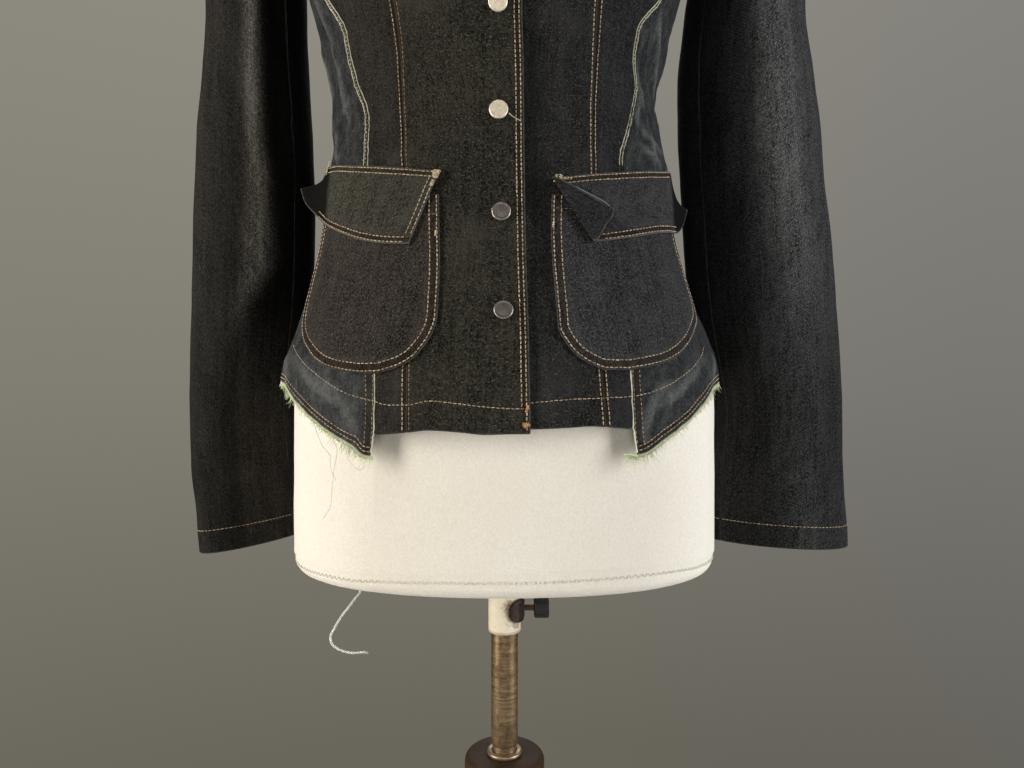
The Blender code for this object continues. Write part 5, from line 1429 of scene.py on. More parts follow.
def sleeve(side):
    s = SIDES[side].s
    tab = SLEEVE[side]
    turn = [math.acos((ARMHOLE["h"] - h) / ARMHOLE["rise"]) for h in SLEEVE_RING]
    turn += [2 * math.pi - a for a in turn[-2:0:-1]]
    n = len(turn)
    ext = np.array(turn + [2 * math.pi])
    per = 6
    f0, b0 = SLEEVE_SEAM["front"], n - SLEEVE_SEAM["back"]

    def ring_points(m):
        """Rings of points at the fractional places m around, for all rows."""
        m = np.asarray(m, float)
        wrapped = np.mod(m, n)
        even_phi = 2 * math.pi * wrapped / n
        arm_phi = np.interp(wrapped, np.arange(n + 1), ext)
        rings = []
        for k in range(-1, len(tab["xi"])):
            even = max(0.0, min(1.0, (k + 1) / 4))
            phi = arm_phi * (1 - even) + even_phi * even
            c, q = np.cos(phi), np.sin(phi)
            if k < 0:
                h = ARMHOLE["h"] - (ARMHOLE["rise"] - 1.2) * c
                amp = np.where(q >= 0, ARMHOLE["front"] - 0.55, -(ARMHOLE["back"] - 0.55))
                t = 90.0 - amp * np.abs(q) ** ARMHOLE["power"]
                p = on_body(JACKET, s * t, h) + 1.2 * normal_at(JACKET, s * t, h)
            else:
                pi = np.array([s * tab["xi"][k], tab["yi"][k], tab["hi"][k]])
                po = np.array([s * tab["xo"][k], tab["yo"][k], tab["ho"][k]])
                mid, arm = (pi + po) / 2, (po - pi) / 2
                p = mid - arm * c[:, None] + np.stack(
                    [np.zeros_like(q), -tab["ry"][k] * q, np.zeros_like(q)], -1)
            rings.append(p)
        return np.array(rings)

    def strip(name, m0, m1, extra=()):
        m = np.linspace(m0, m1, int((m1 - m0) * per) + 1)
        near = np.array([0.006, 0.016, 0.035, 0.07, 0.14]) * 1.0
        m = np.concatenate([[m0], m0 + near, m[1:-1], m1 - near[::-1], [m1]])
        m = np.unique(np.round(m, 5))
        rings = ring_points(m)
        k = len(rings)
        rows = np.concatenate([np.linspace(0, 4, 26), np.linspace(4, k - 2, 128)[1:],
                               k - 2 + np.array([0.2, 0.4, 0.6, 0.8, 0.93, 0.975, 0.99, 1.0])])
        g = curve(np.arange(k), rings, rows)
        # draw the side edges in by half the seam's gap
        for e, nb in ((0, 1), (-1, -2)):
            d = unit(g[:, nb] - g[:, e])
            g[:, e] += d * 0.12
        nrm = unit(np.cross(np.gradient(g, axis=1), np.gradient(g, axis=0)))
        core = ring_points(np.arange(n)).mean(1)
        core = curve(np.arange(k), core, rows)
        if np.sum(nrm * (g - core[:, None])) < 0:
            nrm = -nrm
        across = np.concatenate([np.zeros((g.shape[0], 1)), np.cumsum(
            np.linalg.norm(np.diff(g, axis=1), axis=-1), 1)], 1)
        d_in, d_out = across, across[:, -1:] - across
        down = np.concatenate([np.zeros((1, g.shape[1])), np.cumsum(
            np.linalg.norm(np.diff(g, axis=0), axis=-1), 0)], 0)
        d_low = down[-1:] - down
        ang = np.broadcast_to(np.asarray(m)[None] * 360.0 / n, g.shape[:2])
        h = g[..., 2]
        z, ridge = sleeve_disp(side, ang, h)
        z = z * smooth(down, 6, 30) * (0.35 + 0.65 * smooth(d_low, 4, 40))
        for q, d in enumerate((d_in, d_out)):
            z += -0.7 * np.exp(-(d / 0.55)) + 0.2 * smooth(d, 0.9, 1.8) * (1 - smooth(d, 5, 8))
            z += 0.18 * np.sin(2 * math.pi * (h / 13.0 + vnoise(h / 19.0, q + 0.5, 64))
                               ) * np.exp(-(d / 7.0) ** 2)
        z += 0.38 * (1 - smooth(d_low, 17.5, 20.5)) - 0.45 * np.exp(-(d_low / 0.4))
        z += 0.16 * np.sin(2 * math.pi * (across / 12.0 + vnoise(across / 18.0, 1.5, 65))
                           ) * np.exp(-((d_low - 19) / 5.0) ** 2)
        top = g + (CLOTH / 2 + z)[..., None] * nrm
        low = g + (CLOTH / 2 - THIN + np.minimum(z, 0) * 0.6)[..., None] * nrm
        SURF[name] = top
        cloth = np.stack([ang * 0.85, -down, np.full(h.shape, 33.0 if s < 0 else 47.0)
                          + (5.0 if "under" in name else 0.0)], -1)
        edge = np.stack([d_in, d_out, d_low], -1)
        # painted light and shade of the sleeves, in powers of eight: a painted highlight along the crease down
        # the front, and painted shade on the side turned to the body
        out = -np.cos(np.radians(ang))
        wear_and_shade = 0.10 * np.clip(ridge, -1, 1)
        if side == "right":
            crest = np.interp(h, [-150, -119, -87, -55, -23, 40], [0.00, -0.06, -0.27, -0.28, -0.26, -0.22])
            wide = np.interp(h, [-119, -87, -55, -23, 40], [0.15, 0.24, 0.22, 0.18, 0.14])
            up = smooth(h, -165, -90)
            wear_and_shade += 0.54 * up * np.exp(-((out - crest) / wide) ** 2)
            wear_and_shade -= 0.80 * (1 - smooth(out, crest - wide - 0.20, crest - wide + 0.02)) * (0.12 + 0.88 * up)
            wear_and_shade -= 0.22 * smooth(out, -0.16, 0.06) + 0.07 * (1 - smooth(h, -30, 60))
        else:
            lo = np.interp(h, [-250, -90, 0], [-0.30, -0.60, -0.36])
            hi = np.interp(h, [-250, -90, 0], [0.36, 0.30, 0.06])
            deep = np.interp(h, [-250, -90, 0], [0.30, 0.62, 0.80])
            wear_and_shade -= deep * (1 - smooth(out, lo, hi)) + 0.30 * smooth(out, 0.20, 0.70)
            wear_and_shade += 0.05 * smooth(h, -90, 0) * (1 - smooth(out, 0.3, 0.6))
            wear_and_shade -= 0.16 * (1 - smooth(h, -250, 0))
        wear_and_shade = np.clip(wear_and_shade, -1, 1)
        ob = shell("cloth_" + name, top, low, MAT["sleeve_" + side],
                   {"cloth": cloth, "edge": edge, "wear_and_shade": wear_and_shade})
        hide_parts(name, *extra)

    strip("upper_sleeve_" + side, f0, b0, ("upper_sleeve_low_" + side,))
    strip("under_sleeve_" + side, b0, n + f0)


sleeve("right")
sleeve("left")

# ---------------------------------------------------------------- collar
grid = []
turns = list(range(len(COLLAR_BASE["turn"])))
for k in range(len(COLLAR_SECTION["out"])):
    line = []
    for sgn, order in ((-1, turns), (1, turns[-2::-1])):
        for i in order:
            x, y, h = COLLAR_BASE["x"][i], COLLAR_BASE["y"][i], COLLAR_BASE["h"][i]
            f = COLLAR_BASE["front"][i]
            out = COLLAR_SECTION["out"][k] * (1 - f) + COLLAR_SECTION["out_front"][k] * f
            up = COLLAR_SECTION["up"][k] * (1 - f) + COLLAR_SECTION["up_front"][k] * f
            d = unit(np.array([x, y, 0.0]))
            p = np.array([x, y, 0.0]) + d * out
            line.append([sgn * p[0], p[1], h + up])
    grid.append(line)
grid = np.array(grid)
g = refine(grid, 0, 0, clustered(42, grid.shape[0] - 1.0), clustered(150, grid.shape[1] - 1.0, (
    0.0, 0.002, 0.005, 0.012)))
nrm = unit(np.cross(np.gradient(g, axis=1), np.gradient(g, axis=0)))
away = g - np.stack([np.zeros(g.shape[:2]), np.zeros(g.shape[:2]), g[..., 2]], -1)
# the leaf (the last rows) faces outwards and down: that side is the right side
if np.sum(nrm[-14:] * away[-14:]) < 0:
    nrm = -nrm
leaf = dist_to(g, np.concatenate([g[8:, 0], g[-1, 1:-1], g[8:, -1][::-1]]))
z = 0.2 * np.exp(-((leaf - 4.2) / 1.6) ** 2) - 0.4 * np.exp(-(leaf / 0.45))
z += 0.25 * vnoise(np.arange(g.shape[1])[None] / 9.0, np.arange(g.shape[0])[:, None] / 9.0, 71)
top = g + (0.9 + z)[..., None] * nrm
low = g - 0.5 * nrm
SURF["collar"] = top
u_mm = np.cumsum(np.concatenate([np.zeros((g.shape[0], 1)), np.linalg.norm(
    np.diff(g, axis=1), axis=-1)], 1), 1)
v_mm = np.cumsum(np.concatenate([np.zeros((1, g.shape[1])), np.linalg.norm(
    np.diff(g, axis=0), axis=-1)], 0), 0)
ob = shell("cloth_collar", top, low, MAT["collar"], {
    "cloth": np.stack([u_mm, v_mm, np.full(u_mm.shape, 61.0)], -1),
    "edge": np.stack([leaf, np.full_like(leaf, 99.0), np.full_like(leaf, 99.0)], -1),
    "wear_and_shade": 0.3 * np.exp(-((leaf - 8) / 3) ** 2)})
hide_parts("collar")

# ================================================================ sewing
BODY_NAMES = [k + side for k in ("front_", "side_front_", "side_panel_", "side_back_", "back_")
              for side in ("right", "left")]
TREES = {
    "body_right": tree_of(*[SURF[k] for k in BODY_NAMES if k.endswith("right")]),
    "body_left": tree_of(*[SURF[k] for k in BODY_NAMES if k.endswith("left")]),
    "front_right": tree_of(SURF["front_right"]),
}
for key in ("pocket_", "flap_", "upper_sleeve_", "under_sleeve_"):
    for side in ("right", "left"):
        TREES[key + side] = tree_of(SURF[key + side])
TREES["collar"] = tree_of(SURF["collar"])

tan = Thread("stitches_body_tan", MAT["tan"], "denim")
rust = Thread("stitches_body_rust", MAT["rust"], "denim")
back_tan = Thread("stitches_back_tan", MAT["tan"], "denim")
pocket_tan = Thread("stitches_pockets_tan", MAT["tan"], "denim")
orange = Thread("bartacks_orange", MAT["orange"], "denim")
gold = Thread("stitches_gold", MAT["gold"], "denim")
black = Thread("stitches_buttonholes", MAT["black"], "denim")


def body_row(thread, side, t, h, tree=None, **kw):
    """A row of stitches on the body along (t, h); t is signed."""
    t, h = np.asarray(t, float), np.asarray(h, float)
    nrm = normal_at(JACKET, t, h)
    p = off_body(t, h, CLOTH / 2)
    p, keep = drape(TREES[tree or "body_" + side], p, nrm, 7.0)
    if keep.sum() > 3:
        thread.row(p[keep], nrm[keep], **kw)


def seam_rows(thread, side, fn, h0, h1, offsets, tree=None, **kw):
    hs = np.arange(h0, h1, 2.0)
    sd = SIDES[side]
    for off in offsets:
        o = off(hs) if callable(off) else np.full(hs.shape, float(off))
        body_row(thread, side, sd.s * inset(fn(hs), hs, o), hs, tree, **kw)


half_right = table("h w", [(-221, 2.35), (-176, 2.35), (-26, 1.8), (40, 2.1), (91, 2.7), (240, 2.7)])
for side in ("right", "left"):
    sd = SIDES[side]
    hem_low = -218.0 if side == "right" else -214.5

    def half(h):
        return curve(half_right["h"], half_right["w"], h)

    seam_rows(tan, side, sd.princess, hem_low, 236, [half])
    seam_rows(rust if side == "right" else tan, side, sd.princess, hem_low, 236,
              [lambda h: -half(h)])
    # the back
    seam_rows(back_tan, side, sd.back_princess, -212, 236, [2.3, -2.3])
    seam_rows(back_tan, side, sd.side_back, -196, 186, [2.4, 5.8])
    # shoulder and armhole
    hs = np.arange(319, 365, 2.0)
    for off in (4.0, 8.0):
        body_row(back_tan, side, sd.s * inset(np.full(hs.shape, 90.0), hs, off), hs)
    hs = np.concatenate([np.arange(188, 250, 2.0), np.arange(250, 316, 2.0)])
    for off in (2.6, 7.4):
        body_row(back_tan, side, sd.s * inset(armhole(hs, "front"), hs, -off), hs)
        body_row(back_tan, side, sd.s * inset(armhole(hs, "back"), hs, off), hs)
# front edge of the right front, and its hem
seam_rows(tan, "right", SIDES["right"].edge, -218, 292, [2.1], tree="front_right")
seam_rows(tan, "right", SIDES["right"].edge, -202, 292, [5.4], tree="front_right")
hs = np.arange(-200, 290, 2.0)
seam_rows(back_tan, "right", lambda h: np.full(np.shape(h), 179.0), -212, 362, [0.0])
seam_rows(back_tan, "left", lambda h: np.full(np.shape(h), 179.0), -212, 362, [0.0])
for side in ("right", "left"):
    tab = HEM_ROW[side]
    t = np.arange(tab["t"][0], tab["t"][-1], 0.8)
    body_row(tan, side, t, curve(tab["t"], tab["h"], t), width=0.6, height=0.5,
             tree="body_" + side)
    s = SIDES[side].s
    t = np.arange(123, 179.6, 0.8)
    body_row(back_tan, side, s * t, -197.5 + 0.8 * np.sin(t / 7.0))
# neckline
for side in ("right", "left"):
    hs = np.arange(300, 364, 2.0)
    body_row(back_tan, side, SIDES[side].s * inset(SIDES[side].edge(hs), hs, 5.0), hs)


def contour(g, field, level, smooth_by=3):
    """Lines on a grid of points along which a field has a level: marching squares."""
    r, c = field.shape
    f = field - level
    pts, links = {}, {}

    def cross(a, b):
        key = (a, b)
        if key not in pts:
            q = f[a] / (f[a] - f[b])
            pts[key] = g[a] * (1 - q) + g[b] * q
            links[key] = []
        return key

    for i in range(r - 1):
        for j in range(c - 1):
            ring = [(i, j), (i, j + 1), (i + 1, j + 1), (i + 1, j)]
            found = []
            for k in range(4):
                a, b = ring[k], ring[(k + 1) % 4]
                if (f[a] > 0) != (f[b] > 0):
                    found.append(cross(min(a, b), max(a, b)))
            for k in range(0, len(found) - 1, 2):
                links[found[k]].append(found[k + 1])
                links[found[k + 1]].append(found[k])
    lines, seen = [], set()
    for start in sorted(pts, key=lambda key: len(links[key]) != 1):
        if start in seen:
            continue
        line, at = [start], start
        seen.add(start)
        while True:
            ahead = [k for k in links[at] if k not in seen]
            if not ahead:
                break
            at = ahead[0]
            seen.add(at)
            line.append(at)
        if len(line) > 4:
            p = resample(np.array([pts[k] for k in line]), 1.0)
            for _ in range(smooth_by):
                p[1:-1] = (p[:-2] + 2 * p[1:-1] + p[2:]) / 4
            lines.append(p)
    return lines


def walk(g, dist):
    """The points at a distance down the columns of a grid, from its first row."""
    out = []
    for j in range(g.shape[1]):
        d = np.concatenate([[0], np.cumsum(np.linalg.norm(np.diff(g[:, j], axis=0), axis=1))])
        out.append([np.interp(dist, d, g[:, j, k]) for k in range(3)])
    return np.array(out)


def on_piece(tree, pts):
    """Normals of a piece at points on it, turned away from the body's axis."""
    nr = np.array([list(tree.find_nearest(Vector(p))[1]) for p in pts])
    return outward(nr, pts)


def outward(nr, pts):
    """Normals turned away from the body's axis."""
    ref = pts.copy()
    ref[:, 2] = 0
    sign = np.sign(np.sum(nr * ref, 1))
    sign[sign == 0] = 1
    return nr * sign[:, None]


BAR = {"right": 72.4, "left": 74.5}          # where the flaps' top rows end


def within(pts, nr, keep, thread, **kw):
    """Rows of stitches along the kept stretches of a line."""
    keep = np.asarray(keep)
    cut = np.where(np.diff(keep.astype(int)) != 0)[0] + 1
    for a, b in zip(np.concatenate([[0], cut]), np.concatenate([cut, [len(pts)]])):
        if keep[a] and b - a > 3:
            thread.row(pts[a:b], nr[a:b], **kw)


for side in ("right", "left"):
    s = SIDES[side].s
    g = SURF["pocket_" + side]
    tree = TREES["pocket_" + side]
    de = dist_to(g, np.concatenate([g[:, 0], g[-1, 1:-1], g[::-1, -1]]))
    for dist in (1.7, 6.9):
        for p in contour(g, de, dist):
            pocket_tan.row(p, on_piece(tree, p))
    # mouth hem
    hh = -66.5 if side == "right" else -62.0
    t = np.arange(14.5, 64, 0.8)
    nrm = normal_at(JACKET, s * t, np.full(t.shape, hh))
    p, keep = drape(tree, off_body(s * t, np.full(t.shape, hh), 3.3), nrm, 7.0)
    rust.row(p[keep], nrm[keep], width=0.6)

    # flaps: a double row along the top and the bottom, one down the front edge
    g = SURF["flap_" + side]
    tree = TREES["flap_" + side]
    first = 0 if side == "right" else FLAP_FOLD["columns"] + 2
    part = g[:, first:]
    bar = s * on_body(JACKET, s * BAR[side], -12.0)[0]
    for dist in (1.3, 5.1):
        p = resample(walk(part, dist), 1.0)
        within(p, on_piece(tree, p), s * p[:, 0] < bar, pocket_tan, length=2.7)
    for dist in (1.2, 4.8):
        p = resample(walk(part[::-1], dist), 1.0)
        near = s * p[:, 0] < s * part[0, -1, 0] - 1.5
        within(p, on_piece(tree, p), near & (np.arange(len(p)) > 4), pocket_tan, width=0.82)
    if side == "right":
        for dist in (1.2, 5.0):
            p = resample(walk(np.swapaxes(g, 0, 1), dist), 1.0)
            top, low = walk(g, 5.1), walk(g[::-1], 4.8)
            within(p, on_piece(tree, p), (p[:, 2] < top[3, 2]) & (p[:, 2] > low[8, 2]), pocket_tan)

# cuffs
for side in ("right", "left"):
    for key in ("upper_sleeve_", "under_sleeve_"):
        g = SURF[key + side]
        tree = TREES[key + side]
        p = resample(walk(g[::-1], 19.0), 1.0)
        nr = np.array([list(tree.find_nearest(Vector(q))[1]) for q in p])
        middle = (SURF["upper_sleeve_" + side][-1].mean(0) + SURF["under_sleeve_" + side][-1].mean(0)) / 2
        sign = np.sign(np.sum(nr * (p - middle) * [1, 1, 0], 1))
        tan.row(p[2:-2], (nr * sign[:, None])[2:-2], width=0.62, height=0.5)

# tails and the washed seams
for side in ("right", "left"):
    sd = SIDES[side]
    s = sd.s
    tab = TAIL[side]
    t = np.arange(27, 122, 0.7)
    base = curve(tab["t"], tab["h"], t)
    slope = np.gradient(base, t * 2.6)
    for off in (4.6, 7.6):
        body_row(tan, side, s * t, base + off * np.sqrt(1 + slope ** 2), width=0.66, height=0.55,
                 skip=0.03)
    for a, b in ((-228, -152), (-22, 184)):
        hs = np.arange(a, b, 1.5)
        for off, th in ((0.9, gold if a > -100 else tan), (6.4, tan)):
            if a > -100 and off > 5:
                continue
            wav = 0.3 * vnoise(hs / 5.0, off, 88)
            body_row(th, side, s * inset(sd.patch(hs), hs, off + wav), hs, width=0.75 if a > -100
                     else 0.62, pitch=2.9 if a > -100 else 3.3, length=2.1)

tan.build()
rust.build()
back_tan.build()
pocket_tan.build()

# raw double edge along the washed seams: two frayed cream lines
raw = []
for side in ("right", "left"):
    sd = SIDES[side]
    wide = 3.9 if side == "right" else 2.5
    for a, b in ((-24, 186), (-234, -150)):
        hs = np.arange(a, b, 0.9)
        wide = wide if a > -100 else 3.4
        for k, off in enumerate((-wide / 2, wide / 2)):
            if a < -100 and k == 1:
                continue
            o = off + 0.45 * vnoise(hs / 3.1, k + 0.5, 81) + (0.9 if a < -100 else 0)
            t = sd.s * inset(sd.patch(hs), hs, o)
            nrm = normal_at(JACKET, t, hs)
            p, keep = drape(TREES["body_" + side], off_body(t, hs, CLOTH / 2), nrm, 7.0)
            p = p + nrm * (0.25 + 0.15 * vnoise(hs / 2.0, k + 3.5, 82))[:, None]
            rad = (0.55 if a < -100 else 0.36) + 0.15 * vnoise(hs / 1.7, k + 5.5, 83)
            raw.append((p, rad))
            # short ends of yarn
            for i in range(0, len(hs), 2):
                if rng.random() < 0.5:
                    continue
                out = unit(np.cross(nrm[i], np.array([0, 0, 1.0]))) * rng.uniform(-1, 1)
                tip = p[i] + out * rng.uniform(0.6, 1.8) + nrm[i] * rng.uniform(0.2, 0.9) + np.array(
                    [0, 0, rng.uniform(-1, 1)])
                raw.append((np.linspace(p[i], tip, 3), np.array([0.16, 0.13, 0.08])))
tubes("raw_edges", raw, MAT["cream"], sides=5)

# fringe of the tails
fringe, loose = [], []
for side in ("right", "left"):
    s = SIDES[side].s
    tab = TAIL[side]
    ts = np.arange(26.5, 120, 0.13)
    for t in ts:
        if rng.random() < 0.12:
            continue
        h = float(curve(tab["t"], tab["h"], t))
        p0 = off_body(np.array(s * t), np.array(h + 0.6), 0.2 + 0.5 * rng.random())
        nr = normal_at(JACKET, s * t, h)
        big = 1.0 + 1.3 * math.exp(-((t - 31) / 5.0) ** 2) + 0.5 * math.exp(-((t - 62) / 6.0) ** 2)
        ln = rng.gamma(3.0, 0.68) * big * 0.9
        tang = unit(off_body(np.array(s * (t + 1)), np.array(float(curve(tab["t"], tab["h"], t + 1))), 0.0)
                    - off_body(np.array(s * t), np.array(h), 0.0))
        down = unit(np.cross(nr, tang))
        if down[2] > 0:
            down = -down
        way = unit(down + tang * rng.uniform(-0.7, 0.7) + nr * rng.uniform(-0.15, 0.45))
        curl = rng.uniform(-1, 1, 3)
        pts = np.array([p0 + way * ln * q + curl * 0.35 * ln * q * q - np.array([0, 0, 0.25 * ln * q * q])
                        for q in np.linspace(0, 1, 4)])
        fringe.append((pts, np.linspace(0.22, 0.11, 4)))
    # a frayed roll of yarn along the edge
    ts = np.arange(26.5, 121, 0.3)
    h = curve(tab["t"], tab["h"], ts)
    for k in range(3):
        p = off_body(s * ts, h - 0.5 + 0.8 * k + 0.5 * vnoise(ts * 2.0, k + 0.5, 91), 0.2 + 0.5 * vnoise(
            ts * 1.7, k + 2.5, 92))
        fringe.append((p, 0.44 + 0.14 * vnoise(ts * 3, k + 4.5, 93)))
tubes("fringe_tails", fringe, MAT["fringe"], sides=4)


def hang(points, front=0.0, step=2.0):
    """A loose thread through pixels of the 1024 frame, at depth y for each (px, py, y)."""
    pts = []
    for px, py, y in points:
        k = (y - CAM[1])
        pts.append(CAM + np.array([(px - 512) / FOCAL, 1.0, (384 - py) / FOCAL]) * k)
    return resample(np.array(pts), step)


loose.append((hang([(333, 440, -112), (337, 450, -116), (334, 470, -116), (332, 487, -116),
                    (331, 504, -116), (323, 519, -117)]), 0.34))
loose.append((hang([(314, 424, -104), (318, 436, -108), (323, 447, -110), (330, 456, -112),
                    (331, 470, -114), (336, 480, -115)]), 0.30))
loose.append((hang([(346, 452, -116), (350, 462, -119), (360, 470, -119), (366, 466, -119)]), 0.2))
loose.append((hang([(361, 458, -120), (364, 464, -121), (362, 469, -121)]), 0.24))
# the turned-back corner of the left flap: two grey threads along its free edge
grey = []
for shift in ((0.0, 0.0), (-2.0, 2.3)):
    path = []
    for px, py in ((557, 178.6), (565, 182.4), (573.3, 186.2), (582, 190.2), (590, 194.4), (599, 199),
                   (606.4, 203.6), (611.6, 210.2), (610.6, 217), (605, 225.6), (599, 235.6)):
        ray = Vector(((px + shift[0] - 512) / FOCAL, 1.0, (384 - py - shift[1]) / FOCAL)).normalized()
        hit, hn, _, _ = TREES["flap_left"].ray_cast(Vector(CAM), ray, 900.0)
        if hit is not None:
            path.append(np.array(hit) + np.array(hn) * (-0.3 if hn.dot(ray) > 0 else 0.3))
    grey.append((resample(np.array(path), 0.8), 0.36))
tubes("flap_left_edge_threads", grey, MAT["grey"], sides=5, tones=[1.0, 1.0])
tubes("loose_threads_tails", loose, MAT["cream"], sides=5, tones=[0.95] * len(loose))

# bartacks
def bartack(thread, px, py, way, ln, width, count, tree):
    """A bartack where a pixel of the 1024 frame falls on a piece."""
    ray = Vector(((px - 512) / FOCAL, 1.0, (384 - py) / FOCAL)).normalized()
    hit, hn, _, _ = TREES[tree].ray_cast(Vector(CAM), ray, 900.0)
    if hit is None:
        print("bartack off its piece", px, py)
        return
    nr = np.array(hn) * (-1.0 if hn.dot(ray) > 0 else 1.0)
    thread.tack(np.array(hit) + 0.35 * nr, way, nr, length=ln, width=width, count=count)


bartack(orange, 527.2, 408.7, (0.3, 0, 1), 4.2, 1.9, 9, "front_right")
bartack(orange, 526.4, 424.6, (1, 0, -0.25), 4.6, 2.2, 8, "front_right")
bartack(orange, 526.4, 425.6, (1, 0, 0.5), 3.6, 2.6, 6, "front_right")
bartack(gold, 435.5, 233.0, (0.1, 0, 1), 3.6, 1.3, 8, "pocket_right")
bartack(gold, 553.5, 224.5, (0.1, 0, 1), 3.6, 1.3, 8, "pocket_left")
# the flaps' corners, and the bars that end their top rows
bartack(gold, 436.6, 174.8, (0.25, 0, 1), 5.4, 3.4, 14, "flap_right")
bartack(gold, 434.6, 173.4, (0.15, 0, 1), 4.6, 3.0, 9, "flap_right")
bartack(gold, 436.4, 171.6, (1, 0, 0.1), 5.4, 2.4, 9, "flap_right")
bartack(gold, 432.0, 183.0, (0.3, 0, 1), 4.0, 2.6, 6, "flap_right")
bartack(gold, 328.6, 168.5, (0.05, 0, 1), 10.5, 1.9, 19, "flap_right")
bartack(gold, 556.0, 178.2, (0.4, 0, 1), 4.6, 2.2, 5, "flap_left")
bartack(gold, 560.6, 178.4, (0.15, 0, 1), 4.8, 2.6, 6, "flap_left")
bartack(gold, 565.5, 178.4, (1, 0, 0.1), 8.4, 2.2, 8, "flap_left")
orange.build()
gold.build()

# ================================================================ buttons, buttonholes
def turned_at(name, profile, origin, normal, mat, segs=48, body="torso"):
    """A small turned piece: profile of (radius, height) from its back to the middle."""
    rot = np.array(Vector(normal).to_track_quat("Z", "Y").to_matrix())
    verts, faces = [], []
    a = np.arange(segs) * 2 * math.pi / segs
    for r, z in profile:
        loc = np.stack([r * np.cos(a), r * np.sin(a), np.full(segs, z)], 1)
        verts.append(origin + loc @ rot.T)
    n = len(profile)
    faces += grid_faces(n, segs, 0, False, True)
    faces.append(tuple(range(segs - 1, -1, -1)))
    faces.append(tuple((n - 1) * segs + k for k in range(segs)))
    return new_mesh(name, world(np.concatenate(verts)), faces, mat, body, 35.0, None)


for i in range(len(BUTTONS["h"])):
    h, x = BUTTONS["h"][i], BUTTONS["x"][i]
    t = float(angle_of(x, h))
    nr = normal_at(JACKET, t, h)
    base = off_body(np.array(t), np.array(h), CLOTH / 2 + 0.8)
    tilt = unit(nr + np.array([0.05 * math.sin(3.1 * i), 0.0, 0.05 * math.cos(2.3 * i)]))
    prof = [(2.4, -0.9), (2.4, 0.25), (5.9, 0.35), (6.75, 0.85), (6.95, 1.5), (6.9, 2.1),
            (6.55, 2.65), (6.1, 2.86), (5.75, 2.80), (5.3, 2.70), (4.0, 2.78), (2.4, 2.86),
            (0.9, 2.90)]
    ob = turned_at("tack_button_%d" % (i + 1), prof, base, tilt,
                   MAT["button_warm"] if i >= 2 else MAT["button_dull"])
    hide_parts("button_%d" % (i + 1))
    # keyhole buttonhole, to the wearer's right of the button
    left = unit(np.cross(np.array([0, 0, 1.0]), nr))
    if left[0] > 0:
        left = -left
    upv = np.cross(nr, left)
    nb = 34
    for k in range(nb):
        a = 2 * math.pi * k / nb
        cx, cz = 8.6 * math.cos(a), 1.25 * math.sin(a)
        if cx > 3.4:
            continue
        if abs(cx) > 7.0:
            cz *= 0.9
        p = base - nr * 0.65 + left * (2.6 - cx) + upv * cz
        black.stitch(p, unit(left * -math.cos(a) * 0.6 + upv * (1 if cz >= 0 else -1)), nr, 2.2,
                     0.8, 0.8, rng.random(), 0.5)
black.build()

# dark slits of the buttonholes: a black sheet under each cut, painted shade of the opening
slit_v, slit_f = [], []
for i in range(len(BUTTONS["h"])):
    h, x = BUTTONS["h"][i], BUTTONS["x"][i]
    t = float(angle_of(x, h))
    nr = normal_at(JACKET, t, h)
    base = off_body(np.array(t), np.array(h), CLOTH / 2)
    left = unit(np.cross(np.array([0, 0, 1.0]), nr))
    if left[0] > 0:
        left = -left
    upv = np.cross(nr, left)
    n = 20
    b0 = len(slit_v)
    for lift in (0.34, 0.05):
        for k in range(n):
            a = 2 * math.pi * k / n
            slit_v.append(base + nr * lift + left * (4.6 + 5.4 * math.cos(a)) + upv * 0.62 * math.sin(a))
    slit_f.append(tuple(b0 + k for k in range(n)))
    slit_f.append(tuple(b0 + n + k for k in range(n - 1, -1, -1)))
    for k in range(n):
        q = (k + 1) % n
        slit_f.append((b0 + k, b0 + n + k, b0 + n + q, b0 + q))
me_slit = new_mesh("buttonhole_slit_shade", world(np.array(slit_v)), slit_f, MAT["black"], "torso", None,
                   {"tone": np.zeros(len(slit_v))})

# short loose threads at the buttons, zigzag of black thread over the washed seam
bits = [
    (hang([(509, 113, -107), (513, 116.5, -109), (521, 121, -106)], step=1.0), 0.24),
    (hang([(507, 221, -102), (506, 225, -104), (505, 229, -103)], step=1.0), 0.18),
    (hang([(507, 318, -111), (511, 314, -113), (514, 317, -112)], step=1.0), 0.15)]
tubes("loose_threads_buttons", bits, MAT["cream"], sides=5, tones=[0.8, 0.5, 0.4])
zig = []
for pts in ([(622, 152), (629, 137), (627, 118), (637, 105), (632, 92), (640, 84)],
            [(626, 148), (634, 128), (630, 112), (640, 100)],
            [(359, 110), (366, 121), (371, 123)], [(362, 141), (370, 133), (372, 130)],
            [(350, 78), (354, 84), (352, 90)]):
    th = pixels(pts, 1.2)
    p = off_body(th[:, 0], th[:, 1], CLOTH / 2)
    nrm = normal_at(JACKET, th[:, 0], th[:, 1])
    p, keep = drape(TREES["body_right" if pts[0][0] < 500 else "body_left"], p, nrm, 7.0)
    zig.append((p + nrm * 0.75, 0.16))
tubes("zigzag_threads", zig, MAT["black"], sides=5, tones=[0.1] * len(zig))

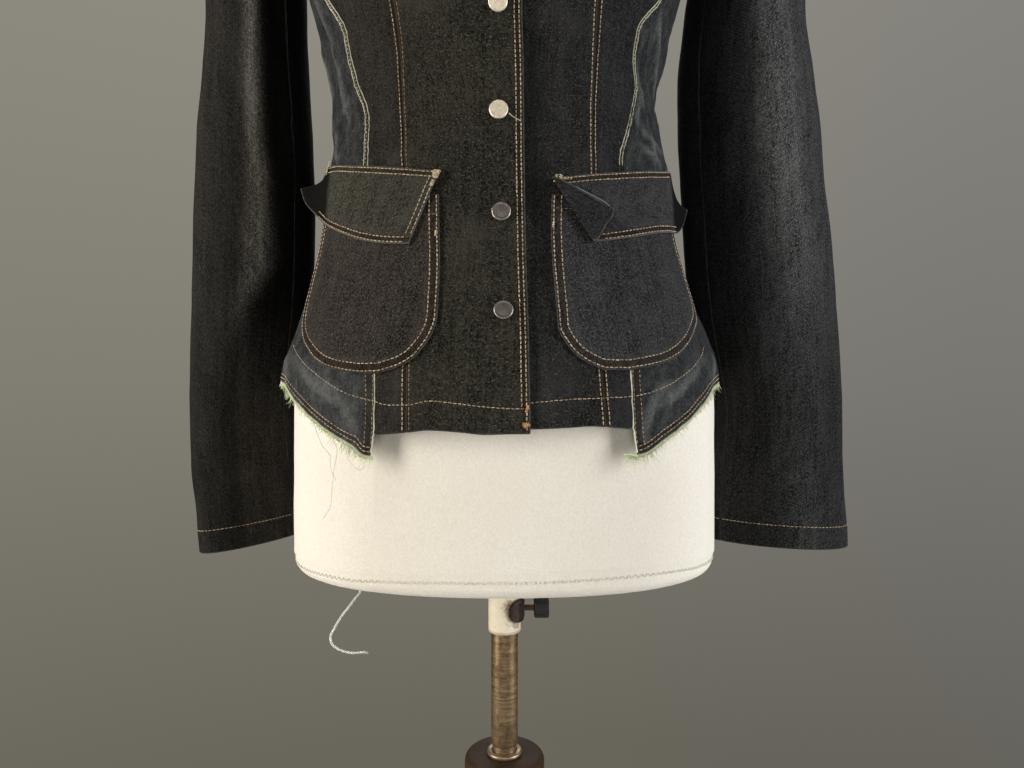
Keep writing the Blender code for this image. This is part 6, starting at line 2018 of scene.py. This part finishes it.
# ================================================================ dress form and stand
rows_h = np.concatenate([np.linspace(-338, -330, 9), np.linspace(-328, -190, 44), np.linspace(-181, 362, 60),
                         np.linspace(364, 430, 24), np.linspace(431, 438, 8)])
tt = np.arange(0, 360, 2.0)
P = on_body(FORM, tt[None], rows_h[:, None])
nrm = normal_at(FORM, np.broadcast_to(tt[None], P.shape[:2]), np.broadcast_to(rows_h[:, None], P.shape[:2]))
seam_h = -324.5 + 2.2 * np.sin(np.radians(tt) * 2 + 0.6)[None] + 1.4 * vnoise(tt / 14.0, 0.5, 101)[None]
hh = rows_h[:, None]
z = 0.35 * vnoise(tt[None] / 9.0, hh / 26.0, 102) * (hh < 300)
z = z - 0.9 * np.exp(-((hh - seam_h) / 1.5) ** 2) + 0.45 * np.exp(-((hh - seam_h - 4) / 2.5) ** 2)
z = z + 0.5 * np.exp(-((hh - seam_h + 5) / 3.0) ** 2) * vnoise(tt[None] / 3.0, 2.5, 103)
for seam_t in (0.0, 180.0):
    dd = np.minimum(np.abs(tt[None] - seam_t), 360 - np.abs(tt[None] - seam_t))
    z = z - 0.5 * np.exp(-(dd / 0.8) ** 2) * (hh > 290)
z = np.where(hh < -336, z * 0.2, z)
P = P + (z[..., None]) * nrm
r, c = P.shape[:2]
verts = [P.reshape(-1, 3)]
bore = 14.4
under = []
a = np.radians(tt)
ring0 = P[0]
inner = np.stack([bore * np.sin(a), -bore * np.cos(a), np.full(c, -338.0)], 1)
inner_top = inner.copy()
inner_top[:, 2] = -8.0
steps = [inner_top, inner]
for q in np.linspace(0, 1, 12)[1:-1]:
    row = inner * (1 - q) + ring0 * q
    row[:, 2] = -338.0
    steps.append(row)
allv = np.concatenate([np.concatenate(steps)] + verts)
rows_all = len(steps) + r
faces = grid_faces(rows_all, c, 0, False, True)
faces.append(tuple(range(c)))
faces.append(tuple((rows_all - 1) * c + k for k in range(c - 1, -1, -1)))
form = new_mesh("form_cover", world(allv), faces, MAT["jersey"], "torso", 35.0, None)
import bmesh  # noqa: E402


def tidy(ob):
    """Faces point outwards."""
    bm = bmesh.new()
    bm.from_mesh(ob.data)
    bmesh.ops.recalc_face_normals(bm, faces=bm.faces)
    if bm.calc_volume(signed=True) < 0:
        bmesh.ops.reverse_faces(bm, faces=bm.faces)
    bm.to_mesh(ob.data)
    bm.free()


tidy(form)
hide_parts("dress_form")

# overlock zigzag along the cover's seam
lock = Thread("form_overlock", MAT["cream"], "jersey")
tz = np.arange(0, 360, 0.95)
for k, t in enumerate(tz):
    h0 = float(-324.5 + 2.2 * math.sin(math.radians(t) * 2 + 0.6) + 1.4 * vnoise(t / 14.0, 0.5, 101))
    p = on_body(FORM, t, h0 - 2.3)
    nr = normal_at(FORM, t, h0)
    side = unit(np.cross(nr, np.array([0, 0, 1.0])))
    way = unit(np.array([0, 0, 1.0]) + side * (0.8 if k % 2 else -0.8))
    lock.stitch(p + nr * 0.25, way, nr, 3.0, 0.42, 0.4, 0.55 + 0.3 * rng.random(), 0.4)
lock.build()


def lathe(name, profile, mat, body, node, segs=96, bore=None, knurl=None, axis="z"):
    """A turned piece of the stand; profile (radius, z), outer side from the bottom up."""
    a = np.arange(segs) * 2 * math.pi / segs
    prof = list(profile)
    rings = []
    for r_, z_ in prof:
        rr = np.full(segs, float(r_))
        if knurl and r_ > knurl[0]:
            rr = rr + knurl[2] * np.sign(np.cos(a * knurl[1])) * np.abs(np.cos(a * knurl[1])) ** 0.5
        rings.append(np.stack([rr * np.cos(a), rr * np.sin(a), np.full(segs, float(z_))], 1))
    if bore:
        for z_ in (bore[2], bore[1]):
            rings.append(np.stack([bore[0] * np.cos(a), bore[0] * np.sin(a), np.full(segs, z_)], 1))
    n = len(rings)
    verts = np.concatenate(rings)
    faces = grid_faces(n, segs, 0, False, True)
    if bore and abs(bore[1] - prof[0][1]) < 1e-6:
        k = np.arange(segs)
        k1 = (k + 1) % segs
        faces += np.stack([(n - 1) * segs + k, (n - 1) * segs + k1, k1, k], 1).tolist()
    else:
        faces.append(tuple(range(segs)))
        faces.append(tuple((n - 1) * segs + k for k in range(segs)))
    if axis == "x":
        verts = verts[:, [2, 0, 1]]
    ob_ = new_mesh(name, verts * MM, faces, mat, body, 32.0, None)
    tidy(ob_)
    if node:
        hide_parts(node)
    return ob_


def rounded(r0, z0, r1, z1, steps=5):
    """Quarter-round from (r0, z0) to (r1, z1)."""
    out = []
    for k in range(steps + 1):
        q = math.pi / 2 * k / steps
        out.append((r0 + (r1 - r0) * (1 - math.cos(q)), z0 + (z1 - z0) * math.sin(q)))
    return out


lathe("socket_tube", [(13.0, 649.0), (13.6, 649.3), (13.8, 650.0), (13.8, 706), (13.8, 800)],
      MAT["paint"], "torso", "socket", bore=(12.1, 649.0, 800.0))
lathe("pole_tube", [(10.4, 486.0), (10.4, 552.6), (10.9, 553.2), (11.3, 553.9), (11.4, 554.8),
                    (11.4, 620), (11.4, 700), (11.4, 936.0), (11.1, 937.4), (10.0, 938.0)],
      MAT["pole"], "pole", "pole")
lathe("ring_collar", [(14.2, 544.3), (14.7, 544.6), (14.8, 545.3), (14.8, 546.4), (14.5, 547.1),
                      (13.9, 547.5), (13.0, 547.6)],
      MAT["ring"], "stand", "pole_ring", bore=(10.95, 544.3, 547.6))
lathe("wood_column", [(62, 28.4), (62, 43), (61.4, 44.2), (58.6, 45.2), (58.2, 47), (58, 49.5),
                      (56.5, 51.6), (53, 53.2), (48, 57), (44.5, 61.5), (43.6, 64), (42, 68),
                      (38.6, 76), (36.4, 84), (35.0, 96), (34.2, 112), (34, 130), (34, 300),
                      (34, 480), (34, 538.5), (33.8, 540.2), (33.2, 541.6), (32.2, 542.8),
                      (31.0, 543.6), (30.0, 544.0), (20.0, 544.0)],
      MAT["wood"], "stand", "column", bore=(10.95, 485.4, 544.0))
lathe("wood_foot", [(196, 0), (200, 0), (203.5, 0.6), (206, 2.6), (207.6, 6), (208, 10), (207.7, 14),
                    (206, 18.6), (203, 22.4), (198.5, 25.2), (196, 25.8), (195, 26.6), (193.5, 27.4),
                    (190, 27.9), (186, 28), (120, 28), (70, 28)],
      MAT["wood"], "stand", "foot", segs=144)

# clamp plate: an oval of iron curved round the socket, with a raised lip round the screw
g = []
steps_a, steps_b = 36, 22
for j in range(steps_a + 1):
    q = 2.0 * j / steps_a - 1.0
    ang_ = math.radians(-76.0 + 100.0 * j / steps_a)
    tall = 9.5 * max(0.30, (1.0 - abs(q) ** 2.6) ** 0.5)
    g.append([(ang_, tall * w) for w in np.linspace(-1, 1, steps_b + 1)])
g = np.array(g)
sc = np.hypot((g[..., 0] - 0.0) * 15.5, g[..., 1])
rad = 16.9 + 0.35 * np.exp(-((sc - 5.4) / 1.1) ** 2) - 0.5 * smooth(np.abs(g[..., 1]), 7.5, 9.5)
topg = np.stack([rad * np.cos(g[..., 0]), rad * np.sin(g[..., 0]), 668.4 - WAIST + g[..., 1]], -1)
lowg = np.stack([14.3 * np.cos(g[..., 0]), 14.3 * np.sin(g[..., 0]), 668.4 - WAIST + g[..., 1]], -1)
plate = shell("clamp_plate_oval", topg, lowg, MAT["iron"], {}, bulge=0.1)
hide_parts("clamp_plate")


def shift_mesh(ob_, dz):
    co = np.zeros(len(ob_.data.vertices) * 3, np.float32)
    ob_.data.vertices.foreach_get("co", co)
    co = co.reshape(-1, 3)
    co[:, 2] += dz
    ob_.data.vertices.foreach_set("co", co.ravel())
    ob_.data.update()


barrel = lathe("knob_barrel", [(2.8, 25.3), (7.0, 25.3), (7.9, 25.8), (8.3, 26.8), (8.35, 31.0),
                               (8.35, 37.0), (7.9, 37.7), (6.4, 38.0), (5.6, 37.6), (3.0, 37.4)],
               MAT["plastic"], "knob", "clamp_knob", segs=120,
               knurl=(8.2, 20, 0.15), axis="x")
shift_mesh(barrel, 668.4 * MM)
screw_prof = [(2.2, 12.2)]
z_ = 12.8
while z_ < 25.0:
    screw_prof += [(2.7, z_), (2.35, z_ + 0.4)]
    z_ += 0.8
screw_prof.append((2.7, 25.2))
stem = lathe("knob_screw", screw_prof, MAT["screw"], "knob", None, segs=32, axis="x")
shift_mesh(stem, 668.4 * MM)

# ================================================================ sizes of the cloth pieces
for name in BODY_NAMES:
    fill(name)
for side in ("right", "left"):
    fill("pocket_" + side)
    fill("flap_" + side)
    fill("upper_sleeve_" + side)
    fill("under_sleeve_" + side)
fill("collar")

# ================================================================ floor, light, background
def flat_color(name, color, rough=0.8):
    m = Shader(name, rough)
    n = m.noise(m.place(), 6.0, 3.0)
    return m.finish(m.mix(n, color, tuple(c * 0.96 for c in color)))


segs = 128
fl = bpy.data.meshes.new("floor")
fv = [(0.95 * math.cos(2 * math.pi * k / segs), 0.95 * math.sin(2 * math.pi * k / segs), -0.0002)
      for k in range(segs)]
fl.from_pydata(fv, [], [tuple(range(segs))])
fl.materials.append(flat_color("floor_pale", (0.60, 0.59, 0.56)))
floor = bpy.data.objects.new("floor", fl)
bpy.context.scene.collection.objects.link(floor)


def area(name, loc, target, size, power, color=(1, 1, 1)):
    li = bpy.data.lights.new(name, "AREA")
    li.shape = "RECTANGLE"
    li.size, li.size_y = size
    li.energy = power
    li.color = color
    ob_ = bpy.data.objects.new(name, li)
    bpy.context.scene.collection.objects.link(ob_)
    ob_.location = loc
    ob_.rotation_euler = (Vector(target) - Vector(loc)).to_track_quat("-Z", "Y").to_euler()
    return ob_


def lamp(name, azimuth, distance, height, size, power, color):
    """A soft box; azimuth in degrees from the front, positive to the viewer's right."""
    r = math.radians(azimuth)
    return area(name, (distance * math.sin(r), -distance * math.cos(r), height), (0, 0, 0.93),
                size, power, color)


lamp("light_left", -66, 2.1, 1.12, (0.6, 1.9), 54.0, (1.0, 0.965, 0.90))
lamp("light_right", 68, 2.1, 1.12, (0.6, 1.9), 47.0, (0.95, 0.975, 1.0))
lamp("light_front", -4, 2.6, 0.72, (2.2, 1.5), 15.0, (1.0, 0.98, 0.95))
lamp("light_back", 180, 2.4, 2.0, (1.6, 1.2), 16.0, (1.0, 1.0, 1.0))

wd = bpy.data.worlds.new("studio")
bpy.context.scene.world = wd
wd.use_nodes = True
nt = wd.node_tree
bg = nt.nodes["Background"]
out_node = nt.nodes["World Output"]
bg.inputs["Color"].default_value = (0.60, 0.60, 0.60, 1.0)
bg.inputs["Strength"].default_value = 0.03
bg2 = nt.nodes.new("ShaderNodeBackground")
geo = nt.nodes.new("ShaderNodeTexCoord")
sep = nt.nodes.new("ShaderNodeSeparateXYZ")
nt.links.new(geo.outputs["Generated"], sep.inputs[0])
# the backdrop the camera sees is painted: darker towards the bottom, lighter towards the top and cooler to one
# side, a painted fall of light on the wall behind
ramp = nt.nodes.new("ShaderNodeValToRGB")
ramp.color_ramp.elements[0].position = 0.0
ramp.color_ramp.elements[0].color = (0.143, 0.133, 0.105, 1)
ramp.color_ramp.elements[1].position = 1.0
ramp.color_ramp.elements[1].color = (0.270, 0.255, 0.213, 1)
el = ramp.color_ramp.elements.new(0.5)
el.color = (0.220, 0.207, 0.172, 1)
mp = nt.nodes.new("ShaderNodeMapRange")
mp.inputs[1].default_value = -0.45
mp.inputs[2].default_value = 0.45
nt.links.new(sep.outputs[2], mp.inputs[0])
nt.links.new(mp.outputs[0], ramp.inputs[0])
side_mix = nt.nodes.new("ShaderNodeMix")
side_mix.data_type, side_mix.blend_type = "RGBA", "MULTIPLY"
side_mix.inputs[7].default_value = (0.86, 0.89, 0.97, 1.0)
side_map = nt.nodes.new("ShaderNodeMapRange")
side_map.inputs[1].default_value, side_map.inputs[2].default_value = 0.0, 0.55
nt.links.new(sep.outputs[0], side_map.inputs[0])
nt.links.new(side_map.outputs[0], side_mix.inputs[0])
nt.links.new(ramp.outputs[0], side_mix.inputs[6])
nt.links.new(side_mix.outputs[2], bg2.inputs["Color"])
lp = nt.nodes.new("ShaderNodeLightPath")
mixs = nt.nodes.new("ShaderNodeMixShader")
nt.links.new(lp.outputs["Is Camera Ray"], mixs.inputs[0])
nt.links.new(bg.outputs[0], mixs.inputs[1])
nt.links.new(bg2.outputs[0], mixs.inputs[2])
nt.links.new(mixs.outputs[0], out_node.inputs["Surface"])

vs = bpy.context.scene.view_settings
vs.view_transform = "Standard"
vs.look = "None"
vs.exposure = 0.0
vs.gamma = 1.0
